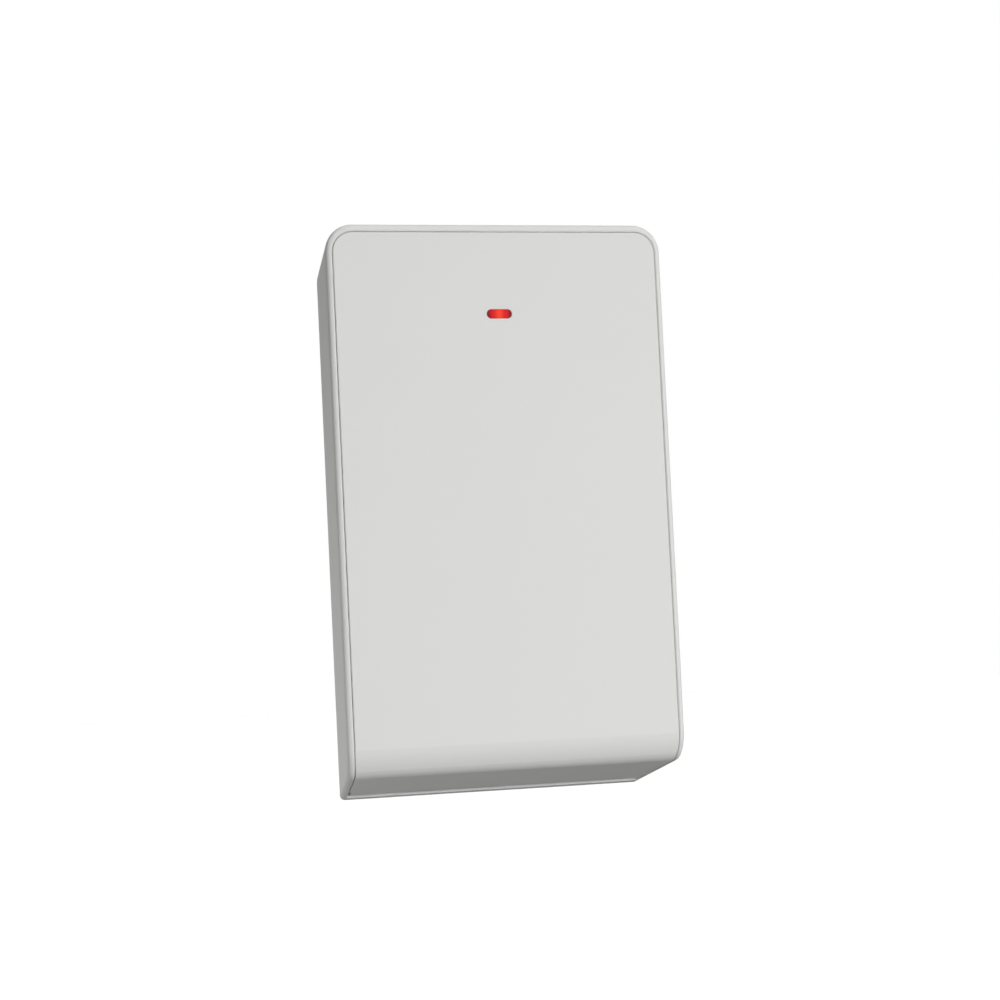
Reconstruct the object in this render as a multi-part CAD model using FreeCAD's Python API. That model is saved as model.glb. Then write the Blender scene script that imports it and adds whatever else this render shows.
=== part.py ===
import FreeCAD, Part
import math
import os

# Wireless receiver module for an alarm system, in millimetres.
# A slim upright box for a wall: a tapered rear housing whose rim frames the front, a cover
# let into that rim that wraps round the bottom edge, and a circuit board inside.
# +X is right and +Z is up as seen from the front, which faces -Y. The wall is the plane y = 0,
# and the origin is the middle of the rear face.

V = FreeCAD.Vector

# Outer form
height = 130.0
width = 80.0
depth = 25.0
side_taper = 3.5            # how far the sides and the top lean in from the front to the rear
corner_radius = 6.4         # the two top corners
front_edge_radius = 1.1
lip_crease = 4.0            # degrees that the panel turns at once where the lip starts
lip_break = 35.0            # degrees at which the gentle curve goes over into the bend
lip_curve_radius = 9.4      # gentle curve below the panel
lip_bend_radius = 4.5       # bend into the underside
lip_drop = 6.4              # how much lower the underside is at the rear than at the front

# Walls of the moulded shells
rim_width = 1.5
rim_top_extra = 0.3         # how much wider the rim is along the top
back_plate_thickness = 2.0
cover_thickness = 2.0
cover_gap = 0.12            # the fine groove between the rim and the cover
groove_chamfer = 0.2        # both edges of the groove
skirt_thickness = 1.2
skirt_height = 3.0
rib_thickness = 1.0
rib_height = 1.4

# Hinge at the lower rear edge
knuckle_radius = 2.0
knuckle_gap = 0.4           # from the knuckle to the back plate
hinge_pin_radius = 1.0
hinge_pin_length = 5.0
hinge_clearance = 0.08
cover_opening = 95.0        # degrees
curl_slot_width = 1.4

# Snap catches at the top edge
catch_spacing = 36.0
catch_width = 8.0
catch_arm_thickness = 1.3
catch_arm_length = 9.0
catch_nose_depth = 1.6
catch_nose_height = 1.0
catch_ledge_depth = 1.4
catch_clearance = 0.1

# Wall screws and the hole for the wires
wall_screw_spacing_x = 61.0
wall_screw_spacing_z = 86.0
wall_screw_hole_radius = 2.25
wall_screw_boss_radius = 4.4
wall_screw_boss_height = 1.0
wire_entry_width = 32.0
wire_entry_height = 12.0
wire_entry_corner_radius = 2.0
wire_entry_up = 15.5        # its middle, up from the bottom edge
wire_entry_rim = 1.2

# Circuit board on its posts. A place on it is given by x from its middle and by how far up it is
# from the board's lower edge.
board_width = 52.0
board_from_top = 9.0
board_from_bottom = 29.0
board_thickness = 1.6
board_corner_radius = 2.0
post_height = 5.0
post_radius = 3.0
post_pilot_radius = 1.3
post_inset = 3.5            # board edge to post centre
board_screw_radius = 1.25
board_screw_length = 5.6
board_screw_head_radius = 2.7
board_screw_head_height = 1.8
board_hole_radius = 1.6

# Indicator window
window_from_top = 20.8
window_length = 6.0
window_height = 2.2
window_gap = 0.08
lens_flange = 1.2
lens_flange_thickness = 1.0
lens_stem_radius = 1.7
led_radius = 1.5
led_flange_radius = 1.9
led_flange_height = 1.0
led_height = 5.3
led_gap = 0.4

# Terminal block
terminal_count = 4
terminal_pitch = 5.08
terminal_height = 10.0
terminal_depth = 8.2
terminal_wall = 0.7
terminal_floor = 1.5
terminal_cage_height = 4.8
terminal_well_radius = 1.95
terminal_screw_radius = 1.75
terminal_screw_sunk = 0.8
terminal_slot_width = 0.6
terminal_slot_depth = 0.8
terminal_fit = 0.2

# Tamper switch
tamper_x = 17.0
tamper_up = 28.0
tamper_size = 6.0
tamper_body_height = 4.4
tamper_plunger_radius = 1.5
tamper_plunger_fit = 0.06
tamper_plunger_length = 4.6
tamper_plunger_out = 1.6    # how far the held-in plunger stands out of its body
tamper_post_width = 4.8
tamper_post_rib = 1.2
tamper_post_gap = 0.2

# Radio board, its screening can and two antennas
radio_width = 28.0
radio_length = 22.0
radio_thickness = 1.0
radio_up = 54.0
radio_notch_radius = 0.45
radio_notch_count = 5
radio_notch_pitch = 2.54
can_width = 22.0
can_length = 16.0
can_height = 3.2
can_sheet = 0.4
can_corner_radius = 1.2
can_hole_radius = 0.9
antenna_strip_width = 1.4
antenna_strip_thickness = 0.5
antenna_x = 21.5
antenna_rise = 7.0
antenna_top_up = 81.0
antenna_bottom_up = 37.0
antenna_return = 5.0        # middle of one leg to middle of the other
antenna_end_up = 47.0
antenna_corner_radius = 1.6
antenna_bend_radius = 1.2   # outside of the bend at the foot

# Address switch
switch_x = -14.5
switch_up = 18.5
switch_count = 4
switch_pitch = 2.54
switch_height = 4.0
switch_length = 9.4
slider_width = 1.3
slider_length = 1.7
slider_height = 2.5
slider_proud = 0.9
slider_travel = 2.2
slider_fit = 0.06

# Controller chip, crystal and the power parts
chip_x = 1.0
chip_up = 26.0
chip_size = 7.0
chip_height = 1.4
chip_standoff = 0.15
lead_count = 8
lead_pitch = 0.8
lead_width = 0.35
lead_thickness = 0.2
lead_reach = 1.0
crystal_x = 1.0
crystal_up = 36.2
crystal_length = 10.8
crystal_width = 4.4
crystal_height = 3.4
capacitor_radius = 3.15
capacitor_height = 11.0
capacitor_foot = 1.2
capacitor_groove = 0.35
capacitor_groove_width = 0.8
capacitor_places = ((-3.6, 14.0), (4.4, 14.0))
regulator_x = 14.5
regulator_up = 16.5
regulator_width = 6.5
regulator_length = 6.1
regulator_height = 2.3
regulator_tab = 1.6
inductor_x = -14.5
inductor_up = 31.5
inductor_size = 7.2
inductor_height = 3.6
inductor_chamfer = 1.4

# Headers
pin_pitch = 2.54
pin_size = 0.64
pin_height = 8.4
header_base_height = 2.5
jumper_x = 21.0
jumper_up = 15.5
jumper_count = 3
shunt_height = 6.0
shunt_fit = 0.1
shunt_lift = 0.2
service_x = -17.0
service_up = 9.5
service_count = 4
service_wall = 0.9
service_depth = 5.8
service_height = 7.0
service_floor = 2.0

# Small chip resistors and capacitors: length, width, height, and where they sit
chip_part = (1.7, 0.9, 0.55)
chip_part_places = (
    (-9.0, 29.0), (-9.0, 27.0), (-9.0, 25.0), (8.6, 29.0), (8.6, 27.0), (8.6, 25.0),
    (8.6, 23.0), (-8.0, 38.4), (-8.0, 36.4), (9.6, 38.4), (9.6, 36.4), (-6.0, 76.0),
    (6.0, 76.0), (-6.0, 73.6), (6.0, 73.6), (-1.2, 70.0), (2.2, 70.0), (13.0, 66.6),
    (-13.0, 66.6), (20.0, 34.0), (12.6, 22.6), (16.6, 22.6),
)

# Values that follow from the ones above
top_z = height / 2
bottom_z = -height / 2
front_y = -depth
lip_angle = math.atan2(lip_drop, depth)
crease = math.radians(lip_crease)
turn_over = math.radians(lip_break)
radius_step = lip_curve_radius - lip_bend_radius
curve_y = front_y + lip_curve_radius * math.cos(crease)
bend_y = curve_y - radius_step * math.cos(turn_over)
bend_z = (bottom_z + lip_bend_radius * math.cos(lip_angle)
          + math.tan(lip_angle) * (-bend_y + lip_bend_radius * math.sin(lip_angle)))
curve_z = bend_z + radius_step * math.sin(turn_over)
crease_z = curve_z - lip_curve_radius * math.sin(crease)
hinge_y = -(back_plate_thickness + knuckle_gap + knuckle_radius)
hinge_z = (bottom_z + knuckle_radius * math.cos(lip_angle)
           + math.tan(lip_angle) * (-hinge_y + knuckle_radius * math.sin(lip_angle)))
plate_y = -back_plate_thickness
board_back_y = plate_y - post_height
board_y = board_back_y - board_thickness
board_top_z = top_z - board_from_top
board_bottom_z = bottom_z + board_from_bottom
window_z = top_z - window_from_top
wire_entry_z = bottom_z + wire_entry_up
radio_z = board_bottom_z + radio_up
antenna_top_z = board_bottom_z + antenna_top_up
antenna_bottom_z = board_bottom_z + antenna_bottom_up
antenna_end_z = board_bottom_z + antenna_end_up
tamper_z = board_bottom_z + tamper_up
switch_z = board_bottom_z + switch_up
chip_z = board_bottom_z + chip_up
crystal_z = board_bottom_z + crystal_up
regulator_z = board_bottom_z + regulator_up
inductor_z = board_bottom_z + inductor_up
jumper_z = board_bottom_z + jumper_up
service_z = board_bottom_z + service_up
cover_inner_y = front_y + cover_thickness
cover_inset = rim_width + cover_gap
post_places = [(sx * (board_width / 2 - post_inset), z)
               for sx in (-1, 1)
               for z in (board_top_z - post_inset, board_bottom_z + post_inset)]
wall_screw_places = [(sx * wall_screw_spacing_x / 2, sz * wall_screw_spacing_z / 2)
                     for sx in (-1, 1) for sz in (-1, 1)]
catch_places = (-catch_spacing / 2, catch_spacing / 2)
overrun = 5.0               # how far a cutting shape passes the face it cuts


def box(x0, x1, y0, y1, z0, z1):
    """Box between two corners."""
    return Part.makeBox(x1 - x0, y1 - y0, z1 - z0, V(x0, y0, z0))


def board_box(x, z, size_x, size_z, low, high):
    """Box centred at x, z that stands on the board from one height to another."""
    return box(x - size_x / 2, x + size_x / 2, board_y - high, board_y - low,
               z - size_z / 2, z + size_z / 2)


def board_rod(x, z, radius, low, high):
    """Round rod square to the board, from one height above its face to another."""
    return Part.makeCylinder(radius, high - low, V(x, board_y - low, z), V(0, -1, 0))


def lean(y):
    """How far the sides and the top have leaned in at this depth."""
    return side_taper * (y - front_y) / depth


def line(a, b):
    return Part.LineSegment(a, b).toShape()


def arc(centre, radius, start, end, place):
    """Arc about a centre between two angles in degrees; place turns a flat pair into a point."""
    points = []
    for angle in (start, (start + end) / 2, end):
        t = math.radians(angle)
        points.append(place(centre[0] + radius * math.cos(t), centre[1] + radius * math.sin(t)))
    return Part.Arc(*points).toShape()


def tapered_block(y_front, y_rear, inset):
    """Block between two depths whose sides and top lean in and whose two top corners are
    round. Inside the rim its top lies a little lower. Its bottom is well below the box."""
    extra = rim_top_extra if inset > 0 else 0
    low = bottom_z - overrun
    half = [width / 2 - lean(y) - inset for y in (y_front, y_rear)]
    top = [top_z - lean(y) - inset - extra for y in (y_front, y_rear)]
    block = Part.makeWedge(-half[0], y_front, low, low, -half[1], half[0], y_rear, top[0], top[1], half[1])
    corners = [edge for edge in block.Edges
               if edge.BoundBox.YLength > 0.9 * (y_rear - y_front) and edge.BoundBox.ZMax > 0]
    return block.makeFillet(corner_radius - inset, corners)


def side_prism(inset):
    """All that lies behind the front face, above the lip and above the sloping underside, each
    moved inwards by the inset. The lip is a crease, a gentle curve and a tighter bend."""
    curve_radius = lip_curve_radius - inset
    bend_radius = lip_bend_radius - inset
    y_front = front_y + inset
    start = math.acos((curve_y - y_front) / curve_radius)
    high = top_z + overrun
    rear = overrun
    start_z = curve_z - curve_radius * math.sin(start)
    low_point = (bend_y - bend_radius * math.sin(lip_angle), bend_z - bend_radius * math.cos(lip_angle))
    rear_z = low_point[1] - (rear - low_point[0]) * math.tan(lip_angle)

    def place(y, z):
        return V(-width, y, z)

    wire = Part.Wire([
        line(place(y_front, high), place(y_front, start_z)),
        arc((curve_y, curve_z), curve_radius, 180 + math.degrees(start), 180 + lip_break, place),
        arc((bend_y, bend_z), bend_radius, 180 + lip_break, 270 - math.degrees(lip_angle), place),
        line(place(*low_point), place(rear, rear_z)),
        line(place(rear, rear_z), place(rear, high)),
        line(place(rear, high), place(y_front, high)),
    ])
    return Part.Face(wire).extrude(V(2 * width, 0, 0))


def rounded_slot(x, z, length, tall, y0, y1):
    """Prism with round ends, its length along X, between two depths."""
    r = tall / 2
    straight = length / 2 - r
    body = box(x - straight, x + straight, y0, y1, z - r, z + r)
    for side in (-1, 1):
        body = body.fuse(Part.makeCylinder(r, y1 - y0, V(x + side * straight, y0, z), V(0, 1, 0)))
    return body.removeSplitter()


def vertical_edges(shape, axis):
    """Straight edges that run along one axis."""
    found = []
    for edge in shape.Edges:
        if len(edge.Vertexes) == 2:
            run = edge.Vertexes[1].Point - edge.Vertexes[0].Point
            if run.Length > 0 and abs(abs(run.normalize().dot(axis)) - 1) < 1e-6:
                found.append(edge)
    return found


def rounded_box(shape, radius):
    """The box with its four edges that run along Y rounded."""
    return shape.makeFillet(radius, vertical_edges(shape, V(0, 1, 0)))


def outer_body():
    """The whole outer form, with its front edge rounded all the way round to the wall."""
    body = tapered_block(front_y - overrun, 0, 0).common(side_prism(0))
    edges = [edge for edge in body.Edges if on_front_edge(edge, 0)]
    return body.makeFillet(front_edge_radius, edges)


def on_front_edge(edge, inset):
    """True for the edges between the front and underside and the sides and top, where the
    sides are moved inwards by the inset."""
    middle = edge.valueAt((edge.FirstParameter + edge.LastParameter) / 2)
    ends = [vertex.Point for vertex in edge.Vertexes]
    if all(point.y > -0.01 for point in ends) or any(outside(point, inset) for point in ends):
        return False
    if all(abs(point.y - front_y) < 0.01 for point in ends):
        return middle.z > crease_z + 0.01
    on_side = all(abs(abs(point.x) - (width / 2 - lean(point.y) - inset)) < 0.01 for point in ends)
    return on_side and ends[0].x * ends[-1].x > 0 and max(point.z for point in ends) < crease_z + 0.01


def outside(point, inset):
    """True for a point that lies farther out than the sides and the top moved in by the inset."""
    return abs(point.x) > width / 2 - inset + 0.01 or point.z > top_z - inset + 0.01


def rear_housing(body):
    """Moulded tray: back plate, leaning walls and rim, posts, ledges and hinge pins."""
    tray = body.cut(tapered_block(front_y - overrun, plate_y, rim_width))
    tray = tray.makeChamfer(groove_chamfer, [e for e in tray.Edges if on_front_edge(e, rim_width)])
    tray = tray.fuse(housing_bosses())
    tray = tray.fuse(housing_ledges())
    tray = tray.fuse(hinge_pins(body))
    tray = tray.cut(housing_holes())
    return tray.removeSplitter()


def housing_bosses():
    """Board posts, raised rings round the wall screws, a rim round the wire hole and two ribs."""
    parts = []
    for x, z in post_places:
        parts.append(Part.makeCylinder(post_radius, post_height + 0.5, V(x, plate_y + 0.5, z), V(0, -1, 0)))
    for x, z in wall_screw_places:
        parts.append(Part.makeCylinder(wall_screw_boss_radius, wall_screw_boss_height + 0.5,
                                       V(x, plate_y + 0.5, z), V(0, -1, 0)))
    parts.append(rounded_box(
        box(-wire_entry_width / 2 - wire_entry_rim, wire_entry_width / 2 + wire_entry_rim,
            plate_y - rib_height, plate_y + 0.5,
            wire_entry_z - wire_entry_height / 2 - wire_entry_rim,
            wire_entry_z + wire_entry_height / 2 + wire_entry_rim),
        wire_entry_corner_radius + wire_entry_rim))
    for x in (-board_width / 4, board_width / 4):
        parts.append(box(x - rib_thickness / 2, x + rib_thickness / 2, plate_y - rib_height, plate_y + 0.5,
                         board_bottom_z, board_top_z))
    return parts[0].multiFuse(parts[1:])


def housing_ledges():
    """Ledges under the top wall that the cover's hooks close behind."""
    ledge_rear = catch_nose_front_y() - catch_clearance
    low = catch_nose_top_z() + catch_clearance / 2
    bars = []
    for x in catch_places:
        bar = box(x - catch_width / 2, x + catch_width / 2, ledge_rear - catch_ledge_depth, ledge_rear,
                  low, top_z - lean(ledge_rear) - rim_width / 2)
        bars.append(bar)
    return bars[0].fuse(bars[1])


def catch_nose_front_y():
    """Front of the hooks' noses."""
    return cover_inner_y + catch_arm_length - catch_nose_depth


def catch_nose_top_z():
    """Top of the hooks' noses, just under the leaning top wall."""
    rear = cover_inner_y + catch_arm_length
    return top_z - lean(rear) - cover_inset - rim_top_extra


def hinge_pins(body):
    """Round pins on the inner faces of both side walls, on the hinge axis."""
    inner = width / 2 - lean(hinge_y) - rim_width
    pins = []
    for side in (-1, 1):
        root = V(side * (inner + rim_width), hinge_y, hinge_z)
        pins.append(Part.makeCylinder(hinge_pin_radius, rim_width + hinge_pin_length, root, V(-side, 0, 0)))
    return pins[0].fuse(pins[1]).common(body)


def housing_holes():
    """Wall screw holes, the hole for the wires and the pilots in the posts."""
    holes = []
    through = back_plate_thickness + wall_screw_boss_height + 2 * overrun
    for x, z in wall_screw_places:
        holes.append(Part.makeCylinder(wall_screw_hole_radius, through, V(x, overrun, z), V(0, -1, 0)))
    for x, z in post_places:
        holes.append(Part.makeCylinder(post_pilot_radius, post_height, V(x, plate_y, z), V(0, -1, 0)))
    holes.append(rounded_box(
        box(-wire_entry_width / 2, wire_entry_width / 2, -depth / 2, overrun,
            wire_entry_z - wire_entry_height / 2, wire_entry_z + wire_entry_height / 2),
        wire_entry_corner_radius))
    return holes[0].multiFuse(holes[1:])


def front_cover(body):
    """Moulded cover: panel, round lower edge and underside in one wall, with a skirt, hooks,
    a curled hinge edge, the window and the post over the tamper switch."""
    inside_rim = tapered_block(front_y - overrun, overrun, cover_inset)
    wall = body.common(inside_rim)
    wall = wall.makeChamfer(groove_chamfer, [e for e in wall.Edges if on_front_edge(e, cover_inset)])
    wall = wall.cut(side_prism(cover_thickness))
    wall = wall.cut(box(-width, width, hinge_y, overrun, bottom_z - overrun, top_z))
    wall = wall.fuse(cover_skirt())
    wall = wall.fuse(cover_ribs())
    wall = wall.fuse(cover_hooks())
    wall = wall.fuse(tamper_post())
    wall = wall.fuse(hinge_curl(inside_rim))
    window = rounded_slot(0, window_z, window_length, window_height, front_y - overrun, cover_inner_y + overrun)
    wall = wall.cut(window)
    wall = wall.cut(Part.makeCylinder(hinge_pin_radius + hinge_clearance, 2 * width,
                                      V(-width, hinge_y, hinge_z), V(1, 0, 0)))
    wall = wall.cut(hinge_relief())
    return wall.removeSplitter()


def hinge_relief():
    """What is taken off both ends of the cover round its hinge, so that they clear the leaning
    side walls. Farther out than this radius, the underside has left the walls before it
    reaches their rear."""
    radius = knuckle_radius / math.cos(math.radians(cover_opening / 2))
    half = width / 2 - lean(hinge_y + knuckle_radius) - cover_inset
    ends = [Part.makeCylinder(radius, width, V(side * half, hinge_y, hinge_z), V(side, 0, 0))
            for side in (-1, 1)]
    return ends[0].fuse(ends[1])


def cover_skirt():
    """Low wall just inside the cover's top and side edges."""
    y0 = cover_inner_y - 0.2
    y1 = cover_inner_y + skirt_height
    ring = tapered_block(y0, y1, cover_inset).cut(
        tapered_block(y0 - 0.5, y1 + 0.5, cover_inset + skirt_thickness))
    return ring.common(box(-width, width, y0, y1, crease_z, top_z))


def cover_ribs():
    """Low stiffening ribs across the inside of the panel."""
    half = width / 2 - cover_inset - skirt_thickness / 2 - side_taper * cover_thickness / depth
    ribs = []
    for z in (crease_z + 14.0, 0.0, window_z - 12.0):
        ribs.append(box(-half, half, cover_inner_y - 0.2, cover_inner_y + rib_height,
                        z - rib_thickness / 2, z + rib_thickness / 2))
    collar = rounded_slot(0, window_z, window_length + 2 * lens_flange + 2.2,
                          window_height + 2 * lens_flange + 2.2,
                          cover_inner_y - 0.2, cover_inner_y + lens_flange_thickness)
    collar = collar.cut(rounded_slot(0, window_z, window_length + 2 * lens_flange + 2 * window_gap,
                                     window_height + 2 * lens_flange + 2 * window_gap,
                                     cover_inner_y, cover_inner_y + overrun))
    ribs.append(collar)
    return ribs[0].multiFuse(ribs[1:])


def cover_hooks():
    """Springy hooks at the top edge, each an arm with a nose."""
    top = catch_nose_top_z()
    rear = cover_inner_y + catch_arm_length
    arm_top = top - catch_nose_height
    hooks = []
    for x in catch_places:
        x0 = x - catch_width / 2
        wire = Part.makePolygon([
            V(x0, cover_inner_y - 0.2, arm_top - catch_arm_thickness),
            V(x0, rear, arm_top - catch_arm_thickness),
            V(x0, rear, arm_top),
            V(x0, catch_nose_front_y() + catch_nose_depth / 2, top),
            V(x0, catch_nose_front_y(), top),
            V(x0, catch_nose_front_y(), arm_top),
            V(x0, cover_inner_y - 0.2, arm_top),
            V(x0, cover_inner_y - 0.2, arm_top - catch_arm_thickness),
        ])
        hooks.append(Part.Face(wire).extrude(V(catch_width, 0, 0)))
    return hooks[0].fuse(hooks[1])


def tamper_post():
    """Post of two crossed ribs that holds the tamper plunger in while the cover is shut."""
    end = board_y - tamper_body_height - tamper_plunger_out - tamper_post_gap
    across = board_box(tamper_x, tamper_z, tamper_post_width, tamper_post_rib,
                       board_y - end, board_y - cover_inner_y + 0.2)
    upright = board_box(tamper_x, tamper_z, tamper_post_rib, tamper_post_width,
                        board_y - end, board_y - cover_inner_y + 0.2)
    return across.fuse(upright)


def hinge_curl(inside_rim):
    """Round curl along the cover's lower rear edge, bored for the pins at both ends."""
    curl = Part.makeCylinder(knuckle_radius, width, V(-width / 2, hinge_y, hinge_z), V(1, 0, 0))
    curl = curl.common(inside_rim)
    reach = width / 2 - lean(hinge_y) - cover_inset - hinge_pin_length - 2.0
    slot = box(-reach, reach, hinge_y - curl_slot_width / 2, hinge_y + curl_slot_width / 2,
               hinge_z, hinge_z + knuckle_radius + 1.0)
    return curl.cut(slot)


def light_pipe():
    """Red window: a flush head in the cover, a flange behind it and a stem to the lamp."""
    head = rounded_slot(0, window_z, window_length - 2 * window_gap, window_height - 2 * window_gap,
                        front_y, cover_inner_y + 0.2)
    flange = rounded_slot(0, window_z, window_length + 2 * lens_flange, window_height + 2 * lens_flange,
                          cover_inner_y, cover_inner_y + lens_flange_thickness)
    end = board_y - led_height - led_gap
    stem = Part.makeCylinder(lens_stem_radius, end - cover_inner_y, V(0, cover_inner_y, window_z), V(0, 1, 0))
    return head.multiFuse([flange, stem]).removeSplitter()


def circuit_board():
    """Board with rounded corners and its screw holes."""
    board = rounded_box(box(-board_width / 2, board_width / 2, board_y, board_back_y,
                            board_bottom_z, board_top_z), board_corner_radius)
    for x, z in post_places:
        board = board.cut(Part.makeCylinder(board_hole_radius, 3 * board_thickness,
                                            V(x, board_back_y + board_thickness, z), V(0, -1, 0)))
    return board


def board_screws():
    """Pan head screws with a cross slot, one in each post."""
    screws = []
    for x, z in post_places:
        shank = Part.makeCylinder(board_screw_radius, board_screw_length, V(x, board_y, z), V(0, 1, 0))
        head = board_rod(x, z, board_screw_head_radius, 0, board_screw_head_height)
        long_arm = board_screw_head_radius * 1.2
        for size_x, size_z in ((long_arm, 0.7), (0.7, long_arm)):
            head = head.cut(board_box(x, z, size_x, size_z, board_screw_head_height - 1.0,
                                      board_screw_head_height + 1.0))
        screws.append(shank.fuse(head).removeSplitter())
    return Part.makeCompound(screws)


def status_led():
    """Round lamp with a collar and the flat top of a lamp made to shine into a light pipe."""
    body = board_rod(0, window_z, led_radius, 0, led_height)
    collar = board_rod(0, window_z, led_flange_radius, 0, led_flange_height)
    return body.fuse(collar).removeSplitter()


def terminal_xs():
    """Middle of each way of the terminal block."""
    first = -(terminal_count - 1) * terminal_pitch / 2
    return [first + i * terminal_pitch for i in range(terminal_count)]


def terminal_z_low():
    """Side of the terminal block that the wires go into."""
    return board_bottom_z + 0.5


def terminal_block():
    """Block with a wire hole, a cage space and a screw well for each way."""
    z0 = terminal_z_low()
    half = terminal_count * terminal_pitch / 2
    y_top = board_y - terminal_height
    body = box(-half, half, y_top, board_y, z0, z0 + terminal_depth)
    corner = [e for e in vertical_edges(body, V(1, 0, 0))
              if abs(e.BoundBox.YMin - y_top) < 0.01]
    body = body.makeChamfer(1.2, corner)
    space = terminal_pitch - 2 * terminal_wall
    for x in terminal_xs():
        body = body.cut(board_box(x, z0 + (terminal_depth - terminal_wall) / 2 - overrun / 2, space,
                                  terminal_depth - terminal_wall + overrun,
                                  terminal_floor, terminal_floor + terminal_cage_height))
        body = body.cut(board_rod(x, z0 + terminal_depth / 2, terminal_well_radius,
                                  terminal_floor + terminal_cage_height - 0.5, terminal_height + 1))
    return body


def terminal_clamps():
    """Wire cages, each a short square tube open towards the wire hole."""
    cages = []
    space = terminal_pitch - 2 * terminal_wall - 2 * terminal_fit
    long = terminal_depth - terminal_wall - 1.6
    z = terminal_z_low() + 1.2 + long / 2
    low = terminal_floor + terminal_fit
    high = terminal_floor + terminal_cage_height - terminal_fit
    for x in terminal_xs():
        cage = board_box(x, z, space, long, low, high)
        cage = cage.cut(board_box(x, z, space - 1.0, long + 1.0, low + 0.6, high - 0.9))
        cages.append(cage)
    return Part.makeCompound(cages)


def terminal_screws():
    """Slotted clamp screws, the same width from end to end, in their wells."""
    screws = []
    z = terminal_z_low() + terminal_depth / 2
    top = terminal_height - terminal_screw_sunk
    seat = terminal_floor + terminal_cage_height - terminal_fit
    for x in terminal_xs():
        screw = board_rod(x, z, terminal_screw_radius, seat, top)
        slot = board_box(x, z, 2 * terminal_screw_radius + 1, terminal_slot_width,
                         top - terminal_slot_depth, top + 1)
        screws.append(screw.cut(slot))
    return Part.makeCompound(screws)


def tamper_switch():
    """Square switch body with a round guide for the plunger."""
    body = rounded_box(board_box(tamper_x, tamper_z, tamper_size, tamper_size, 0, tamper_body_height), 0.5)
    depth_in = tamper_plunger_length - tamper_plunger_out
    bore = board_rod(tamper_x, tamper_z, tamper_plunger_radius + tamper_plunger_fit,
                     tamper_body_height - depth_in - tamper_post_gap, tamper_body_height + 1)
    return body.cut(bore)


def tamper_plunger():
    """Plunger, stored held in by the shut cover."""
    high = tamper_body_height + tamper_plunger_out
    rod = board_rod(tamper_x, tamper_z, tamper_plunger_radius, high - tamper_plunger_length, high)
    tip = [e for e in rod.Edges
           if abs(e.BoundBox.YMin - (board_y - high)) < 0.01 and e.BoundBox.YLength < 0.01]
    return rod.makeChamfer(0.4, tip)


def receiver_board():
    """Small radio board soldered flat to the main board by the half round notches in its sides."""
    board = board_box(0, radio_z, radio_width, radio_length, 0, radio_thickness)
    first = radio_z - (radio_notch_count - 1) * radio_notch_pitch / 2
    notches = []
    for side in (-1, 1):
        for i in range(radio_notch_count):
            notches.append(board_rod(side * radio_width / 2, first + i * radio_notch_pitch,
                                     radio_notch_radius, -0.5, radio_thickness + 0.5))
    return board.cut(notches[0].multiFuse(notches[1:]))


def shield_can():
    """Folded screening can on the radio board, open towards it, with four vent holes."""
    low = radio_thickness
    high = radio_thickness + can_height
    outer = board_box(0, radio_z, can_width, can_length, low, high)
    outer = rounded_box(outer, can_corner_radius)
    inner = board_box(0, radio_z, can_width - 2 * can_sheet, can_length - 2 * can_sheet,
                      low - 0.5, high - can_sheet)
    inner = rounded_box(inner, can_corner_radius - can_sheet)
    can = outer.cut(inner)
    for x in (-can_width / 4, can_width / 4):
        for z in (radio_z - can_length / 4, radio_z + can_length / 4):
            can = can.cut(board_rod(x, z, can_hole_radius, high - 2 * can_sheet, high + 1))
    return can


def antenna(side):
    """Folded quarter wave antenna blanked from sheet: a leg that turns back at its top and
    stands off the board on its bent foot."""
    half = antenna_strip_width / 2
    rear = board_y - antenna_rise
    front = rear - antenna_strip_thickness
    x_in = side * (antenna_x - antenna_return)
    x_out = side * antenna_x
    plate = box(min(x_in, x_out) - half, max(x_in, x_out) + half, front, rear,
                antenna_bottom_z + antenna_bend_radius, antenna_top_z)
    outer = [edge for edge in vertical_edges(plate, V(0, 1, 0)) if edge.BoundBox.ZMin > antenna_end_z]
    plate = plate.makeFillet(antenna_corner_radius, outer)
    inner = min(abs(x_in), abs(x_out)) + half
    between = box(inner, inner + antenna_return - antenna_strip_width, front - 1, rear + 1,
                  antenna_bottom_z - 1, antenna_top_z - antenna_strip_width)
    under = box(inner - 2 * antenna_strip_width, inner + 0.1, front - 1, rear + 1,
                antenna_bottom_z - 1, antenna_end_z)
    for space in (between, under):
        if side < 0:
            space = space.mirror(V(0, 0, 0), V(1, 0, 0))
        plate = plate.cut(space)
    return plate.fuse(antenna_foot(x_out, front, rear)).removeSplitter()


def antenna_foot(x, front, rear):
    """Foot of an antenna: a quarter bend and a leg that stands on the board."""
    thickness = antenna_strip_thickness
    low = antenna_bottom_z
    centre = (front + antenna_bend_radius, low + antenna_bend_radius)
    inner_radius = antenna_bend_radius - thickness

    def place(y, z):
        return V(x - antenna_strip_width / 2, y, z)

    wire = Part.Wire([
        line(place(front, centre[1]), place(rear, centre[1])),
        arc(centre, inner_radius, 180, 270, place),
        line(place(centre[0], low + thickness), place(board_y, low + thickness)),
        line(place(board_y, low + thickness), place(board_y, low)),
        line(place(board_y, low), place(centre[0], low)),
        arc(centre, antenna_bend_radius, 270, 180, place),
    ])
    return Part.Face(wire).extrude(V(antenna_strip_width, 0, 0))


def switch_xs():
    """Middle of each slider of the address switch."""
    first = switch_x - (switch_count - 1) * switch_pitch / 2
    return [first + i * switch_pitch for i in range(switch_count)]


def slider_rest_z():
    """Middle of a slider at the lower end of its slot."""
    return switch_z - slider_travel / 2


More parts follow.
